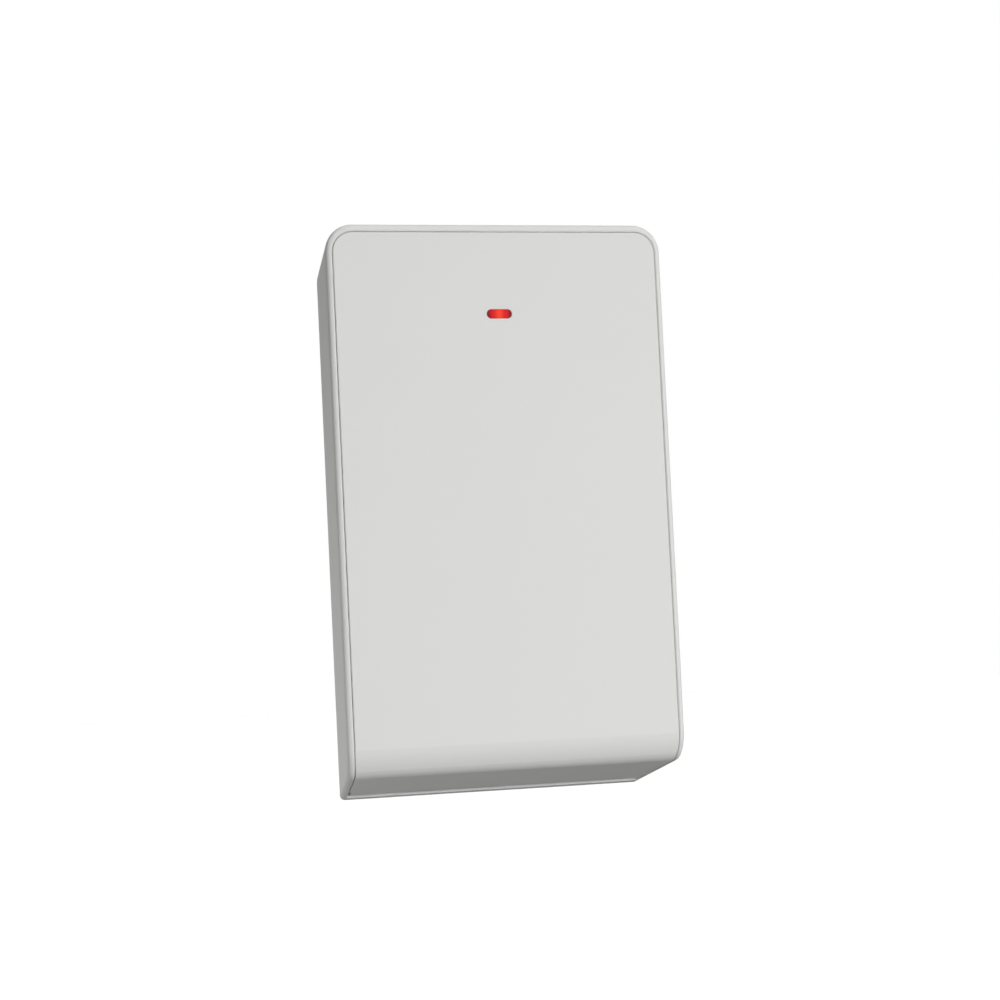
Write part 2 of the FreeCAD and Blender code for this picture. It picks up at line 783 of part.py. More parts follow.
def address_switch():
    """Switch body with a slot for each slider."""
    body = board_box(switch_x, switch_z, switch_count * switch_pitch + 1.6, switch_length, 0, switch_height)
    slot_width = slider_width + 2 * slider_fit
    slot_length = slider_length + slider_travel + 4 * slider_fit
    floor = switch_height + slider_proud - slider_height - slider_fit
    for x in switch_xs():
        body = body.cut(board_box(x, switch_z, slot_width, slot_length, floor, switch_height + 1))
    return body


def address_slider(x):
    """One slider, at the lower end of its slot."""
    high = switch_height + slider_proud
    return board_box(x, slider_rest_z(), slider_width, slider_length, high - slider_height, high)


def microcontroller():
    """Flat square chip with a round mark at its first lead."""
    body = board_box(chip_x, chip_z, chip_size, chip_size, chip_standoff, chip_standoff + chip_height)
    top = chip_standoff + chip_height
    mark = board_rod(chip_x - chip_size / 2 + 1.2, chip_z + chip_size / 2 - 1.2, 0.5, top - 0.1, top + 1)
    return body.makeChamfer(0.3, vertical_edges(body, V(0, 1, 0))).cut(mark)


def lead(turn, offset):
    """One gull wing lead of the chip, turned to its side."""
    half = chip_size / 2
    mid = chip_standoff + chip_height / 2
    t = lead_thickness
    profile = [
        (half, mid + t), (half + lead_reach / 2, mid + t), (half + lead_reach / 2, t),
        (half + lead_reach, t), (half + lead_reach, 0), (half + lead_reach / 2 - t, 0),
        (half + lead_reach / 2 - t, mid), (half, mid), (half, mid + t),
    ]
    points = [V(offset - lead_width / 2, -h, r) for r, h in profile]
    shape = Part.Face(Part.makePolygon(points)).extrude(V(lead_width, 0, 0))
    shape.rotate(V(0, 0, 0), V(0, 1, 0), turn)
    shape.translate(V(chip_x, board_y, chip_z))
    return shape


def component_leads():
    """Leads of the chip and the tab and legs of the regulator."""
    leads = []
    first = -(lead_count - 1) * lead_pitch / 2
    for turn in (0, 90, 180, 270):
        for i in range(lead_count):
            leads.append(lead(turn, first + i * lead_pitch))
    tab_z = regulator_z + regulator_length / 2 + regulator_tab / 2
    leads.append(board_box(regulator_x, tab_z, regulator_width - 1.2, regulator_tab, 0, 0.6))
    leg_z = regulator_z - regulator_length / 2 - regulator_tab / 2
    for x in (-regulator_width / 3, regulator_width / 3):
        leads.append(board_box(regulator_x + x, leg_z, 0.8, regulator_tab, 0, 0.6))
    return Part.makeCompound(leads)


def crystal():
    """Low metal can with round ends on a flange."""
    low = 0.5
    flange = rounded_slot(crystal_x, crystal_z, crystal_length, crystal_width, board_y - low, board_y)
    can = rounded_slot(crystal_x, crystal_z, crystal_length - 0.8, crystal_width - 0.8,
                       board_y - crystal_height, board_y - low)
    return flange.fuse(can).removeSplitter()


def capacitor(x, z):
    """Standing can capacitor with the groove that its foot is crimped by."""
    foot = board_rod(x, z, capacitor_radius, 0, capacitor_foot)
    waist = board_rod(x, z, capacitor_radius - capacitor_groove, capacitor_foot,
                      capacitor_foot + capacitor_groove_width)
    can = board_rod(x, z, capacitor_radius, capacitor_foot + capacitor_groove_width, capacitor_height)
    return foot.multiFuse([waist, can])


def electrolytic_capacitors():
    return Part.makeCompound([capacitor(x, board_bottom_z + up) for x, up in capacitor_places])


def voltage_regulator():
    """Moulded body of the regulator."""
    body = board_box(regulator_x, regulator_z, regulator_width, regulator_length, 0, regulator_height)
    upper = [e for e in body.Edges if abs(e.BoundBox.YMax - (board_y - regulator_height)) < 0.01]
    return body.makeChamfer(0.4, upper)


def power_inductor():
    """Square ferrite block with cut corners and a dished round top."""
    body = board_box(inductor_x, inductor_z, inductor_size, inductor_size, 0, inductor_height)
    body = body.makeChamfer(inductor_chamfer, vertical_edges(body, V(0, 1, 0)))
    return body.cut(board_rod(inductor_x, inductor_z, inductor_size / 3, inductor_height - 0.3,
                              inductor_height + 1))


def chip_components():
    """Small chip resistors and capacitors."""
    length, wide, tall = chip_part
    return Part.makeCompound([board_box(x, board_bottom_z + up, length, wide, 0, tall)
                              for x, up in chip_part_places])


def jumper_zs():
    """Middle of each jumper pin."""
    return [jumper_z + (i - (jumper_count - 1) / 2) * pin_pitch for i in range(jumper_count)]


def service_xs():
    """Middle of each service pin."""
    return [service_x + (i - (service_count - 1) / 2) * pin_pitch for i in range(service_count)]


def jumper_header():
    """Plastic base of the jumper pins."""
    base = board_box(jumper_x, jumper_z, pin_pitch, jumper_count * pin_pitch, 0, header_base_height)
    for z in jumper_zs():
        base = base.cut(board_box(jumper_x, z, pin_size, pin_size, -1, header_base_height + 1))
    return base


def service_connector():
    """Open shroud round the service pins, with a slot in one wall."""
    size_x = service_count * pin_pitch + 2 * service_wall
    body = board_box(service_x, service_z, size_x, service_depth, 0, service_height)
    body = body.cut(board_box(service_x, service_z, size_x - 2 * service_wall,
                              service_depth - 2 * service_wall, service_floor, service_height + 1))
    body = body.cut(board_box(service_x, service_z + service_depth / 2, 3.0, 3 * service_wall,
                              service_floor + 1.5, service_height + 1))
    for x in service_xs():
        body = body.cut(board_box(x, service_z, pin_size, pin_size, -1, service_height))
    return body


def header_pins():
    """Square pins of the jumper header and the service connector."""
    pins = [board_box(jumper_x, z, pin_size, pin_size, 0, pin_height) for z in jumper_zs()]
    pins += [board_box(x, service_z, pin_size, pin_size, 0, service_height - 1) for x in service_xs()]
    return Part.makeCompound(pins)


def jumper_shunt():
    """Small cap that bridges the two upper pins."""
    z = (jumper_zs()[-1] + jumper_zs()[-2]) / 2
    low = header_base_height + shunt_lift
    shunt = board_box(jumper_x, z, pin_pitch - 0.1, 2 * pin_pitch - 0.1, low, low + shunt_height)
    for pin_z in jumper_zs()[-2:]:
        hole = pin_size + 2 * shunt_fit
        shunt = shunt.cut(board_box(jumper_x, pin_z, hole, hole, low - 1, low + shunt_height - 0.2))
    return shunt


def save(name, shape):
    """Writes one sub-part."""
    shape.exportStep("parts/" + name + ".step")


def main():
    os.makedirs("parts", exist_ok=True)
    body = outer_body()
    save("rear_housing", rear_housing(body))
    save("front_cover", front_cover(body))
    save("light_pipe", light_pipe())
    save("circuit_board", circuit_board())
    save("board_screws", board_screws())
    save("status_led", status_led())
    save("terminal_block", terminal_block())
    save("terminal_clamps", terminal_clamps())
    save("terminal_screws", terminal_screws())
    save("tamper_switch", tamper_switch())
    save("tamper_plunger", tamper_plunger())
    save("receiver_board", receiver_board())
    save("shield_can", shield_can())
    save("antenna_left", antenna(-1))
    save("antenna_right", antenna(1))
    save("address_switch", address_switch())
    for number, x in enumerate(switch_xs(), start=1):
        save("address_slider_%d" % number, address_slider(x))
    save("microcontroller", microcontroller())
    save("component_leads", component_leads())
    save("crystal", crystal())
    save("electrolytic_capacitors", electrolytic_capacitors())
    save("voltage_regulator", voltage_regulator())
    save("power_inductor", power_inductor())
    save("chip_components", chip_components())
    save("jumper_header", jumper_header())
    save("service_connector", service_connector())
    save("header_pins", header_pins())
    save("jumper_shunt", jumper_shunt())


main()
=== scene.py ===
import math

import bpy
import numpy as np
from mathutils import Matrix, Vector


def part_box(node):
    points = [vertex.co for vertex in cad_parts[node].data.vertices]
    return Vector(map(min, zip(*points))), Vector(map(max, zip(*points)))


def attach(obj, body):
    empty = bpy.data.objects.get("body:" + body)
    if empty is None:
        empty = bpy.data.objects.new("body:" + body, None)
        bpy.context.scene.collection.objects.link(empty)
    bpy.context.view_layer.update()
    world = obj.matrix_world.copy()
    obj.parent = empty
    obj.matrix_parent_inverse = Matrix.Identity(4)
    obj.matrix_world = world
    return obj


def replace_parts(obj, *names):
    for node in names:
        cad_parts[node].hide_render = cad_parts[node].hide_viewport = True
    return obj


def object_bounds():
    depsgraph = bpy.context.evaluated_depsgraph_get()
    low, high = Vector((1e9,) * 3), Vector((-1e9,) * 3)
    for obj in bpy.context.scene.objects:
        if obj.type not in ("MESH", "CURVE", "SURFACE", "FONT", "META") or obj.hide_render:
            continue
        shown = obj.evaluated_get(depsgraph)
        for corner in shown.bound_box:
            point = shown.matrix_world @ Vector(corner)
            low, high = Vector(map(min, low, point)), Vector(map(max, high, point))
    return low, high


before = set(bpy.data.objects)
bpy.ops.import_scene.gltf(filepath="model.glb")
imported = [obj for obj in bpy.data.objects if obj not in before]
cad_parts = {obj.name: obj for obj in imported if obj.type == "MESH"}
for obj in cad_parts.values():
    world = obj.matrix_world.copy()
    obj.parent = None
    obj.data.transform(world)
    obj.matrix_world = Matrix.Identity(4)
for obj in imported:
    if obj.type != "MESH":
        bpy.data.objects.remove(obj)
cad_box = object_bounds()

# A wireless receiver module for a wall, in metres: a satin white case with a lit red window,
# and the circuit board that shows when its cover swings down. The front faces -Y.

mm = 0.001
sharp_angle = math.radians(35)            # an edge that turns more stays sharp

# Camera, fitted to the outline of the case in the photograph
camera_azimuth = math.radians(16.747)     # to the left of the middle
camera_elevation = math.radians(-3.582)   # below the middle
camera_roll = math.radians(-2.796)
camera_distance = 588.08 * mm
camera_target = Vector((0, -12.5 * mm, 0))
camera_lens = 91.36                       # mm on a sensor 36 mm wide
camera_shift = (0.0068, 0.01105)

# Stage
floor_drop = 62 * mm                      # under the case, clear of the open cover
floor_half = 6.0                          # metres
floor_bounce = 0.06                       # what the floor gives back to the case
floor_glow = 0.45                         # seen by the camera alone
ambient_level = 0.14
key_level = 1.07
top_level = 0.28
back_level = 0.40
side_level = 0.31
low_level = 0.27
mirror_dark = 0.30                        # least of what gloss sees
key_place = (0.45, -1.10, -0.02)
side_place = (-0.20, 0.03, -0.115)
low_place = (0.0, -0.40, -0.115)
top_way = (0.0, 0.12, -1.0)               # the way that the light travels
back_way = (-0.35, -0.80, -0.45)
sun_spread = math.radians(40)

# Sizes and places of the small things, in millimetres
same_point = 1e-4                         # what is closer is one point
least_radius = 0.01                       # of the corners of a block
window_half = 3                           # half the length of the red window
glow_depth = 0.8                          # of the lit spot behind the lamp's tip
pin_pitch = 2.54
lead_pitch = 0.8                          # of the chip
both_ways = [(-1.0, 0.0), (1.0, 0.0)]     # left and right
switch_ways = (1, 2, 3, 4)
soft_edge = 0.12                          # of the larger parts on the board
plate_height = 0.05                       # thin pads and rings
pad_edge = 0.02
ink_width = 0.16
ink_height = 0.05
part_gap = 0.9                            # how much larger an outline is than its part
chip_gap = (1.4, 0.75)                    # the same across and up a small chip part
can_ring = 3.5                            # radii of round outlines
lamp_ring = 2.38
outlined_parts = ("address_switch", "power_inductor", "tamper_switch", "crystal", "jumper_header",
                  "service_connector", "terminal_block")
track_height = 0.035
track_width = 0.3
fan_width = 0.24                          # of the tracks from the chip
supply_width = 1.1
chamfer = 0.5                             # of the bend of the radio's tracks
radio_level = 18                          # z of its middle contacts
radio_edge = 15.2                         # x where its tracks come out
radio_lane = 16.2                         # x of the first track that runs down
lane_pitch = 0.75
radio_foot = 5.2                          # z of its plated holes, every second one lower
foot_step = 0.9
antenna_feet = [(-21.5, 1.2), (21.5, 1.2)]
sight_marks = [(-24.0, 45.0), (24.0, 45.0), (24.0, -27.0)]
thin_tracks = [                           # the last three end in a plated hole
    [(-1.3, 42.4), (-1.3, 41.0), (-2.3, 40.0), (-4.7, 40.0)],
    [(1.3, 42.4), (1.3, 41.0), (2.3, 40.0), (4.7, 40.0)],
    [(-4.7, 37.6), (-3.0, 37.6), (-1.9, 36.5), (-1.9, 34.4)],
    [(4.7, 37.6), (3.9, 37.6), (2.9, 36.6), (2.9, 34.4)],
    [(21.0, -16.6), (21.0, -14.5), (19.9, -13.4), (17.9, -13.4)],
    [(-7.3, 40.0), (-8.6, 40.0), (-10.9, 37.7), (-10.9, 31.8)],
    [(10.9, 2.4), (12.2, 2.4), (13.4, 1.2), (13.4, -3.4)],
    [(-9.3, 2.4), (-11.2, 2.4), (-12.4, 3.6), (-12.4, 5.6)]]
wide_tracks = [
    [(7.62, -27.2), (7.62, -26.3), (9.7, -24.22), (12.2, -24.22)],
    [(16.8, -24.2), (16.8, -25.6), (18.2, -27.0), (18.2, -30.5)],
    [(-7.65, -27.2), (-7.65, -18.6), (-6.5, -17.45), (-6.5, -15.4)],
    [(2.54, -27.2), (2.54, -26.9), (4.0, -25.44), (4.0, -24.6)],
    [(-2.54, -27.2), (-2.54, -26.9), (-3.2, -26.24), (-3.2, -24.6)],
    [(-21.5, 1.5), (-21.5, 26.0), (-19.7, 27.8), (-14.2, 27.8)],
    [(21.5, 1.5), (21.5, 26.0), (19.7, 27.8), (14.2, 27.8)]]
housing_floor = -2.0                      # y of the inner faces
cover_roof = -23.0
housing_marks = [(-31.0, 6.0), (31.0, 6.0), (-31.0, -18.0), (31.0, -18.0)]
cover_marks = [(-24.0, -34.0), (24.0, -34.0), (-24.0, 14.0), (24.0, 14.0)]


def linear(code):
    """sRGB hex code to linear colour: a share s is s / 12.92 up to 0.04045, and above that
    it is (s + 0.055) / 1.055 to the power 2.4."""
    shares = np.array([int(code[i:i + 2], 16) / 255 for i in (1, 3, 5)])
    value = np.where(shares <= 0.04045, shares / 12.92, ((shares + 0.055) / 1.055) ** 2.4)
    return (*value.tolist(), 1.0)


def add(tree, kind, inputs=None, **settings):
    """Adds one node with its settings, and sets or links its inputs."""
    node = tree.nodes.new(kind)
    for name, value in settings.items():
        setattr(node, name, value)
    for name, value in (inputs or {}).items():
        if isinstance(value, bpy.types.NodeSocket):
            tree.links.new(value, node.inputs[name])
        else:
            node.inputs[name].default_value = value
    return node


def new_material(name):
    """Empty material and its node tree."""
    made = bpy.data.materials.new(name)
    made.use_nodes = True
    made.node_tree.nodes.clear()
    return made, made.node_tree


def dress(material, *nodes):
    """Puts the material in the slots of these CAD nodes."""
    for name in nodes:
        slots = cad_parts[name].data.materials
        slots.clear()
        slots.append(material)


def moulded_plastic(name, light, dark, roughness, grain=0.30 * mm, depth=0.006 * mm, gloss=0.5):
    """Thermoplastic moulded in a spark eroded tool: an even satin with a very fine grain, and a
    faint cloudiness where the melt flowed. The grain is drawn coarser than the real 0.1 mm so
    that it shows."""
    made, tree = new_material(name)
    place = add(tree, "ShaderNodeTexCoord")
    fine = add(tree, "ShaderNodeTexNoise", {"Vector": place.outputs["Object"], "Scale": 1 / grain,
                                            "Detail": 2.0, "Roughness": 0.55})
    cloud = add(tree, "ShaderNodeTexNoise", {"Vector": place.outputs["Object"], "Scale": 1 / (26 * mm),
                                             "Detail": 3.0, "Roughness": 0.5})
    tone = add(tree, "ShaderNodeMix", {"Factor": cloud.outputs["Fac"], "A": linear(light),
                                       "B": linear(dark)}, data_type="RGBA")
    satin = add(tree, "ShaderNodeMapRange", {"Value": cloud.outputs["Fac"], "To Min": roughness - 0.03,
                                             "To Max": roughness + 0.03})
    bump = add(tree, "ShaderNodeBump", {"Height": fine.outputs["Fac"], "Strength": 0.6, "Distance": depth})
    shader = add(tree, "ShaderNodeBsdfPrincipled", {"Base Color": tone.outputs[2],
                                                    "Roughness": satin.outputs["Result"],
                                                    "Specular IOR Level": gloss, "IOR": 1.53,
                                                    "Normal": bump.outputs["Normal"]})
    add(tree, "ShaderNodeOutputMaterial", {"Surface": shader.outputs["BSDF"]})
    return made


def worked_metal(name, light, dark, roughness, streak=(1, 1, 1), grain=0.5 * mm, depth=0.004 * mm):
    """Plated, drawn or rolled metal: fine marks, longer along the axis whose share of the streak
    is small, that change both its tone and its gloss a little."""
    made, tree = new_material(name)
    place = add(tree, "ShaderNodeTexCoord")
    turn = add(tree, "ShaderNodeMapping", {"Vector": place.outputs["Object"], "Scale": streak})
    marks = add(tree, "ShaderNodeTexNoise", {"Vector": turn.outputs["Vector"], "Scale": 1 / grain,
                                             "Detail": 4.0, "Roughness": 0.6})
    tone = add(tree, "ShaderNodeMix", {"Factor": marks.outputs["Fac"], "A": linear(light),
                                       "B": linear(dark)}, data_type="RGBA")
    gloss = add(tree, "ShaderNodeMapRange", {"Value": marks.outputs["Fac"], "To Min": roughness - 0.08,
                                             "To Max": roughness + 0.08})
    bump = add(tree, "ShaderNodeBump", {"Height": marks.outputs["Fac"], "Strength": 0.5, "Distance": depth})
    shader = add(tree, "ShaderNodeBsdfPrincipled", {"Base Color": tone.outputs[2], "Metallic": 1.0,
                                                    "Roughness": gloss.outputs["Result"],
                                                    "Normal": bump.outputs["Normal"]})
    add(tree, "ShaderNodeOutputMaterial", {"Surface": shader.outputs["BSDF"]})
    return made


def coated_laminate(name, light, dark, edge):
    """Glass cloth laminate under solder resist: a glossy green whose 0.5 mm weave shows as a
    faint grid, and pale raw laminate on the cut edges."""
    made, tree = new_material(name)
    place = add(tree, "ShaderNodeTexCoord")
    split = add(tree, "ShaderNodeSeparateXYZ", {"Vector": place.outputs["Object"]})
    threads = []
    for axis in ("X", "Z"):
        angle = add(tree, "ShaderNodeMath", {0: split.outputs[axis], 1: 2 * math.pi / (0.5 * mm)},
                    operation="MULTIPLY")
        threads.append(add(tree, "ShaderNodeMath", {0: angle.outputs[0]}, operation="SINE"))
    weave = add(tree, "ShaderNodeMath", {0: threads[0].outputs[0], 1: threads[1].outputs[0]},
                operation="MULTIPLY")
    cloud = add(tree, "ShaderNodeTexNoise", {"Vector": place.outputs["Object"], "Scale": 1 / (9 * mm),
                                             "Detail": 3.0})
    blend = add(tree, "ShaderNodeMath", {0: weave.outputs[0], 1: 0.12, 2: cloud.outputs["Fac"]},
                operation="MULTIPLY_ADD")
    resist = add(tree, "ShaderNodeMix", {"Factor": blend.outputs[0], "A": linear(light),
                                         "B": linear(dark)}, data_type="RGBA")
    facing = add(tree, "ShaderNodeNewGeometry")
    parts = add(tree, "ShaderNodeSeparateXYZ", {"Vector": facing.outputs["Normal"]})
    flat = add(tree, "ShaderNodeMath", {0: parts.outputs["Y"]}, operation="ABSOLUTE")
    face = add(tree, "ShaderNodeMath", {0: flat.outputs[0], 1: 0.5}, operation="GREATER_THAN")
    tone = add(tree, "ShaderNodeMix", {"Factor": face.outputs[0], "A": linear(edge),
                                       "B": resist.outputs[2]}, data_type="RGBA")
    gloss = add(tree, "ShaderNodeMapRange", {"Value": face.outputs[0], "To Min": 0.75, "To Max": 0.27})
    bump = add(tree, "ShaderNodeBump", {"Height": weave.outputs[0], "Strength": 0.3,
                                        "Distance": 0.004 * mm})
    shader = add(tree, "ShaderNodeBsdfPrincipled", {"Base Color": tone.outputs[2],
                                                    "Roughness": gloss.outputs["Result"],
                                                    "Normal": bump.outputs["Normal"], "IOR": 1.5})
    add(tree, "ShaderNodeOutputMaterial", {"Surface": shader.outputs["BSDF"]})
    return made


def speckled_ceramic(name, light, dark, roughness, grain):
    """Pressed and fired powder: hard small grains of two tones, matt where they were ground."""
    made, tree = new_material(name)
    place = add(tree, "ShaderNodeTexCoord")
    grains = add(tree, "ShaderNodeTexVoronoi", {"Vector": place.outputs["Object"], "Scale": 1 / grain})
    shade = add(tree, "ShaderNodeSeparateColor", {"Color": grains.outputs["Color"]})
    tone = add(tree, "ShaderNodeMix", {"Factor": shade.outputs["Red"], "A": linear(light),
                                       "B": linear(dark)}, data_type="RGBA")
    bump = add(tree, "ShaderNodeBump", {"Height": grains.outputs["Distance"], "Strength": 0.4,
                                        "Distance": 0.01 * mm})
    shader = add(tree, "ShaderNodeBsdfPrincipled", {"Base Color": tone.outputs[2], "Roughness": roughness,
                                                    "Normal": bump.outputs["Normal"], "IOR": 1.6})
    add(tree, "ShaderNodeOutputMaterial", {"Surface": shader.outputs["BSDF"]})
    return made


def lit_window(name, front, half_length):
    """Clear red acrylic, injection moulded and polished. The lamp behind it makes the middle of
    its front glow orange red, and the glow dies away towards both ends. The part behind the
    front is plain deep red."""
    made, tree = new_material(name)
    place = add(tree, "ShaderNodeTexCoord")
    split = add(tree, "ShaderNodeSeparateXYZ", {"Vector": place.outputs["Object"]})
    across = add(tree, "ShaderNodeMath", {0: split.outputs["X"]}, operation="ABSOLUTE")
    share = add(tree, "ShaderNodeMath", {0: across.outputs[0], 1: half_length}, operation="DIVIDE")
    ramp = add(tree, "ShaderNodeValToRGB", {"Fac": share.outputs[0]})
    stops = ramp.color_ramp
    stops.interpolation = "EASE"
    stops.elements[0].color = linear("#F5461F")
    stops.elements[1].color = linear("#3A0206")
    stops.elements[1].position = 0.95
    middle = stops.elements.new(0.48)
    middle.color = linear("#D10A10")
    near = add(tree, "ShaderNodeMath", {0: split.outputs["Y"], 1: front + 0.3 * mm}, operation="LESS_THAN")
    glow = add(tree, "ShaderNodeMix", {"Factor": near.outputs[0], "A": linear("#2A0406"),
                                       "B": ramp.outputs["Color"]}, data_type="RGBA")
    shader = add(tree, "ShaderNodeBsdfPrincipled", {"Base Color": linear("#730A12"), "Roughness": 0.22,
                                                    "Specular IOR Level": 0.2, "IOR": 1.49,
                                                    "Emission Color": glow.outputs[2],
                                                    "Emission Strength": 0.85})
    add(tree, "ShaderNodeOutputMaterial", {"Surface": shader.outputs["BSDF"]})
    return made


def lit_lamp(name, centre):
    """Lamp cast in clear red epoxy: the light comes from a small chip on its axis, so the glow
    falls off with the distance from there, by 1 mm steps from orange to deep red."""
    made, tree = new_material(name)
    place = add(tree, "ShaderNodeTexCoord")
    away = add(tree, "ShaderNodeVectorMath", {0: place.outputs["Object"], 1: centre}, operation="DISTANCE")
    share = add(tree, "ShaderNodeMath", {0: away.outputs["Value"], 1: 3 * mm}, operation="DIVIDE")
    ramp = add(tree, "ShaderNodeValToRGB", {"Fac": share.outputs[0]})
    ramp.color_ramp.elements[0].color = linear("#FF8A50")
    ramp.color_ramp.elements[1].color = linear("#3A0508")
    middle = ramp.color_ramp.elements.new(0.45)
    middle.color = linear("#C81A1E")
    shader = add(tree, "ShaderNodeBsdfPrincipled", {"Base Color": linear("#8C1016"), "Roughness": 0.10,
                                                    "IOR": 1.52, "Emission Color": ramp.outputs["Color"],
                                                    "Emission Strength": 0.45})
    add(tree, "ShaderNodeOutputMaterial", {"Surface": shader.outputs["BSDF"]})
    return made


def set_world():
    """White for what the camera, gloss and glass see, and a plain level of grey for the rest.
    What gloss sees is darker towards the right, which gives the metal parts their shading."""
    world = bpy.data.worlds.new("studio")
    bpy.context.scene.world = world
    world.use_nodes = True
    tree = world.node_tree
    tree.nodes.clear()
    ray = add(tree, "ShaderNodeLightPath")
    place = add(tree, "ShaderNodeTexCoord")
    split = add(tree, "ShaderNodeSeparateXYZ", {"Vector": place.outputs["Generated"]})
    shade = add(tree, "ShaderNodeMapRange", {"Value": split.outputs["X"], "From Min": 0.1,
                                             "From Max": 0.95, "To Min": 1.0, "To Max": mirror_dark},
                interpolation_type="SMOOTHSTEP")
    level = add(tree, "ShaderNodeMath", {0: ray.outputs["Is Glossy Ray"], 1: shade.outputs["Result"]},
                operation="MULTIPLY")
    for least in (ray.outputs["Is Camera Ray"], ray.outputs["Is Transmission Ray"], ambient_level):
        level = add(tree, "ShaderNodeMath", {0: level.outputs[0], 1: least}, operation="MAXIMUM")
    sky = add(tree, "ShaderNodeBackground", {"Color": (1, 1, 1, 1), "Strength": level.outputs[0]})
    add(tree, "ShaderNodeOutputWorld", {"Surface": sky.outputs["Background"]})


def set_floor():
    """Wide floor. The camera sees it white with the case's shadow, where a glow makes up for what
    the lamps leave, and looks through it from below. Gloss and glass see plain white, and little
    light bounces to the underside."""
    made, tree = new_material("pale_floor")
    ray = add(tree, "ShaderNodeLightPath")
    tone = add(tree, "ShaderNodeMix", {"Factor": ray.outputs["Is Camera Ray"],
                                       "A": (floor_bounce, floor_bounce, floor_bounce, 1),
                                       "B": (1, 1, 1, 1)}, data_type="RGBA")
    lit = add(tree, "ShaderNodeBsdfDiffuse", {"Color": tone.outputs[2]})
    level = add(tree, "ShaderNodeMath", {0: ray.outputs["Is Camera Ray"], 1: floor_glow},
                operation="MULTIPLY")
    for kind in ("Is Glossy Ray", "Is Transmission Ray"):
        level = add(tree, "ShaderNodeMath", {0: level.outputs[0], 1: ray.outputs[kind]},
                    operation="MAXIMUM")
    glow = add(tree, "ShaderNodeEmission", {"Strength": level.outputs[0]})
    both = add(tree, "ShaderNodeAddShader", {0: lit.outputs[0], 1: glow.outputs[0]})
    facing = add(tree, "ShaderNodeNewGeometry")
    below = add(tree, "ShaderNodeMath", {0: facing.outputs["Backfacing"], 1: ray.outputs["Is Camera Ray"]},
                operation="MULTIPLY")
    clear = add(tree, "ShaderNodeBsdfTransparent")
    shown = add(tree, "ShaderNodeMixShader", {0: below.outputs[0], 1: both.outputs["Shader"],
                                              2: clear.outputs["BSDF"]})
    add(tree, "ShaderNodeOutputMaterial", {"Surface": shown.outputs["Shader"]})
    low = cad_box[0].z - floor_drop
    mesh = bpy.data.meshes.new("floor")
    mesh.from_pydata([(-floor_half, -floor_half, low), (floor_half, -floor_half, low),
                      (floor_half, floor_half, low), (-floor_half, floor_half, low)], [], [(0, 1, 2, 3)])
    mesh.materials.append(made)
    floor = bpy.data.objects.new("floor", mesh)
    bpy.context.scene.collection.objects.link(floor)


def add_lamp(name, kind, direction, place=(0, 0, 0), **settings):
    """Lamp at a place whose light travels along a direction. It isn't mirrored in gloss, so that
    metals keep their colour."""
    lamp = bpy.data.lights.new(name, kind)
    for key, value in settings.items():
        setattr(lamp, key, value)
    holder = bpy.data.objects.new(name, lamp)
    holder.location = place
    holder.visible_glossy = False
    holder.rotation_mode = "QUATERNION"
    holder.rotation_quaternion = Vector(direction).to_track_quat("-Z", "Y")
    bpy.context.scene.collection.objects.link(holder)


def add_panel_lamp(name, place, side, level):
    """Square soft lamp that points at the case. At a level of 1, a surface at the origin that
    faces it is as bright as its colour: the power is the level times pi squared times the
    distance squared."""
    away = Vector(place)
    add_lamp(name, "AREA", -away, place, shape="SQUARE", size=side,
             energy=level * math.pi ** 2 * away.length_squared)


def set_camera():
    """Camera at the photograph's angle, turned about its own axis by the roll."""
    a, e, r = camera_azimuth, camera_elevation, camera_roll
    back = Vector((-math.sin(a) * math.cos(e), -math.cos(a) * math.cos(e), math.sin(e)))
    right = Vector((math.cos(a), -math.sin(a), 0))
    up = back.cross(right)
    turned_right = right * math.cos(r) + up * math.sin(r)
    turned_up = up * math.cos(r) - right * math.sin(r)
    data = bpy.data.cameras.new("camera")
    data.lens = camera_lens
    data.shift_x, data.shift_y = camera_shift
    data.clip_start = 0.01
    data.clip_end = 100
    camera = bpy.data.objects.new("camera", data)
    turn = Matrix((turned_right, turned_up, back)).transposed().to_4x4()
    camera.matrix_world = Matrix.Translation(camera_target + back * camera_distance) @ turn
    bpy.context.scene.collection.objects.link(camera)
    bpy.context.scene.camera = camera


def corners(node):
    """Lowest and highest corner of a CAD node, as arrays."""
    low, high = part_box(node)
    return np.array(low), np.array(high)


def add_piece(name, mesh, material, body):
    """A mesh as a piece of the part, with its material and the body it rides on."""
    mesh.materials.append(material)
    piece = bpy.data.objects.new(name, mesh)
    bpy.context.scene.collection.objects.link(piece)
    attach(piece, body)
    return piece


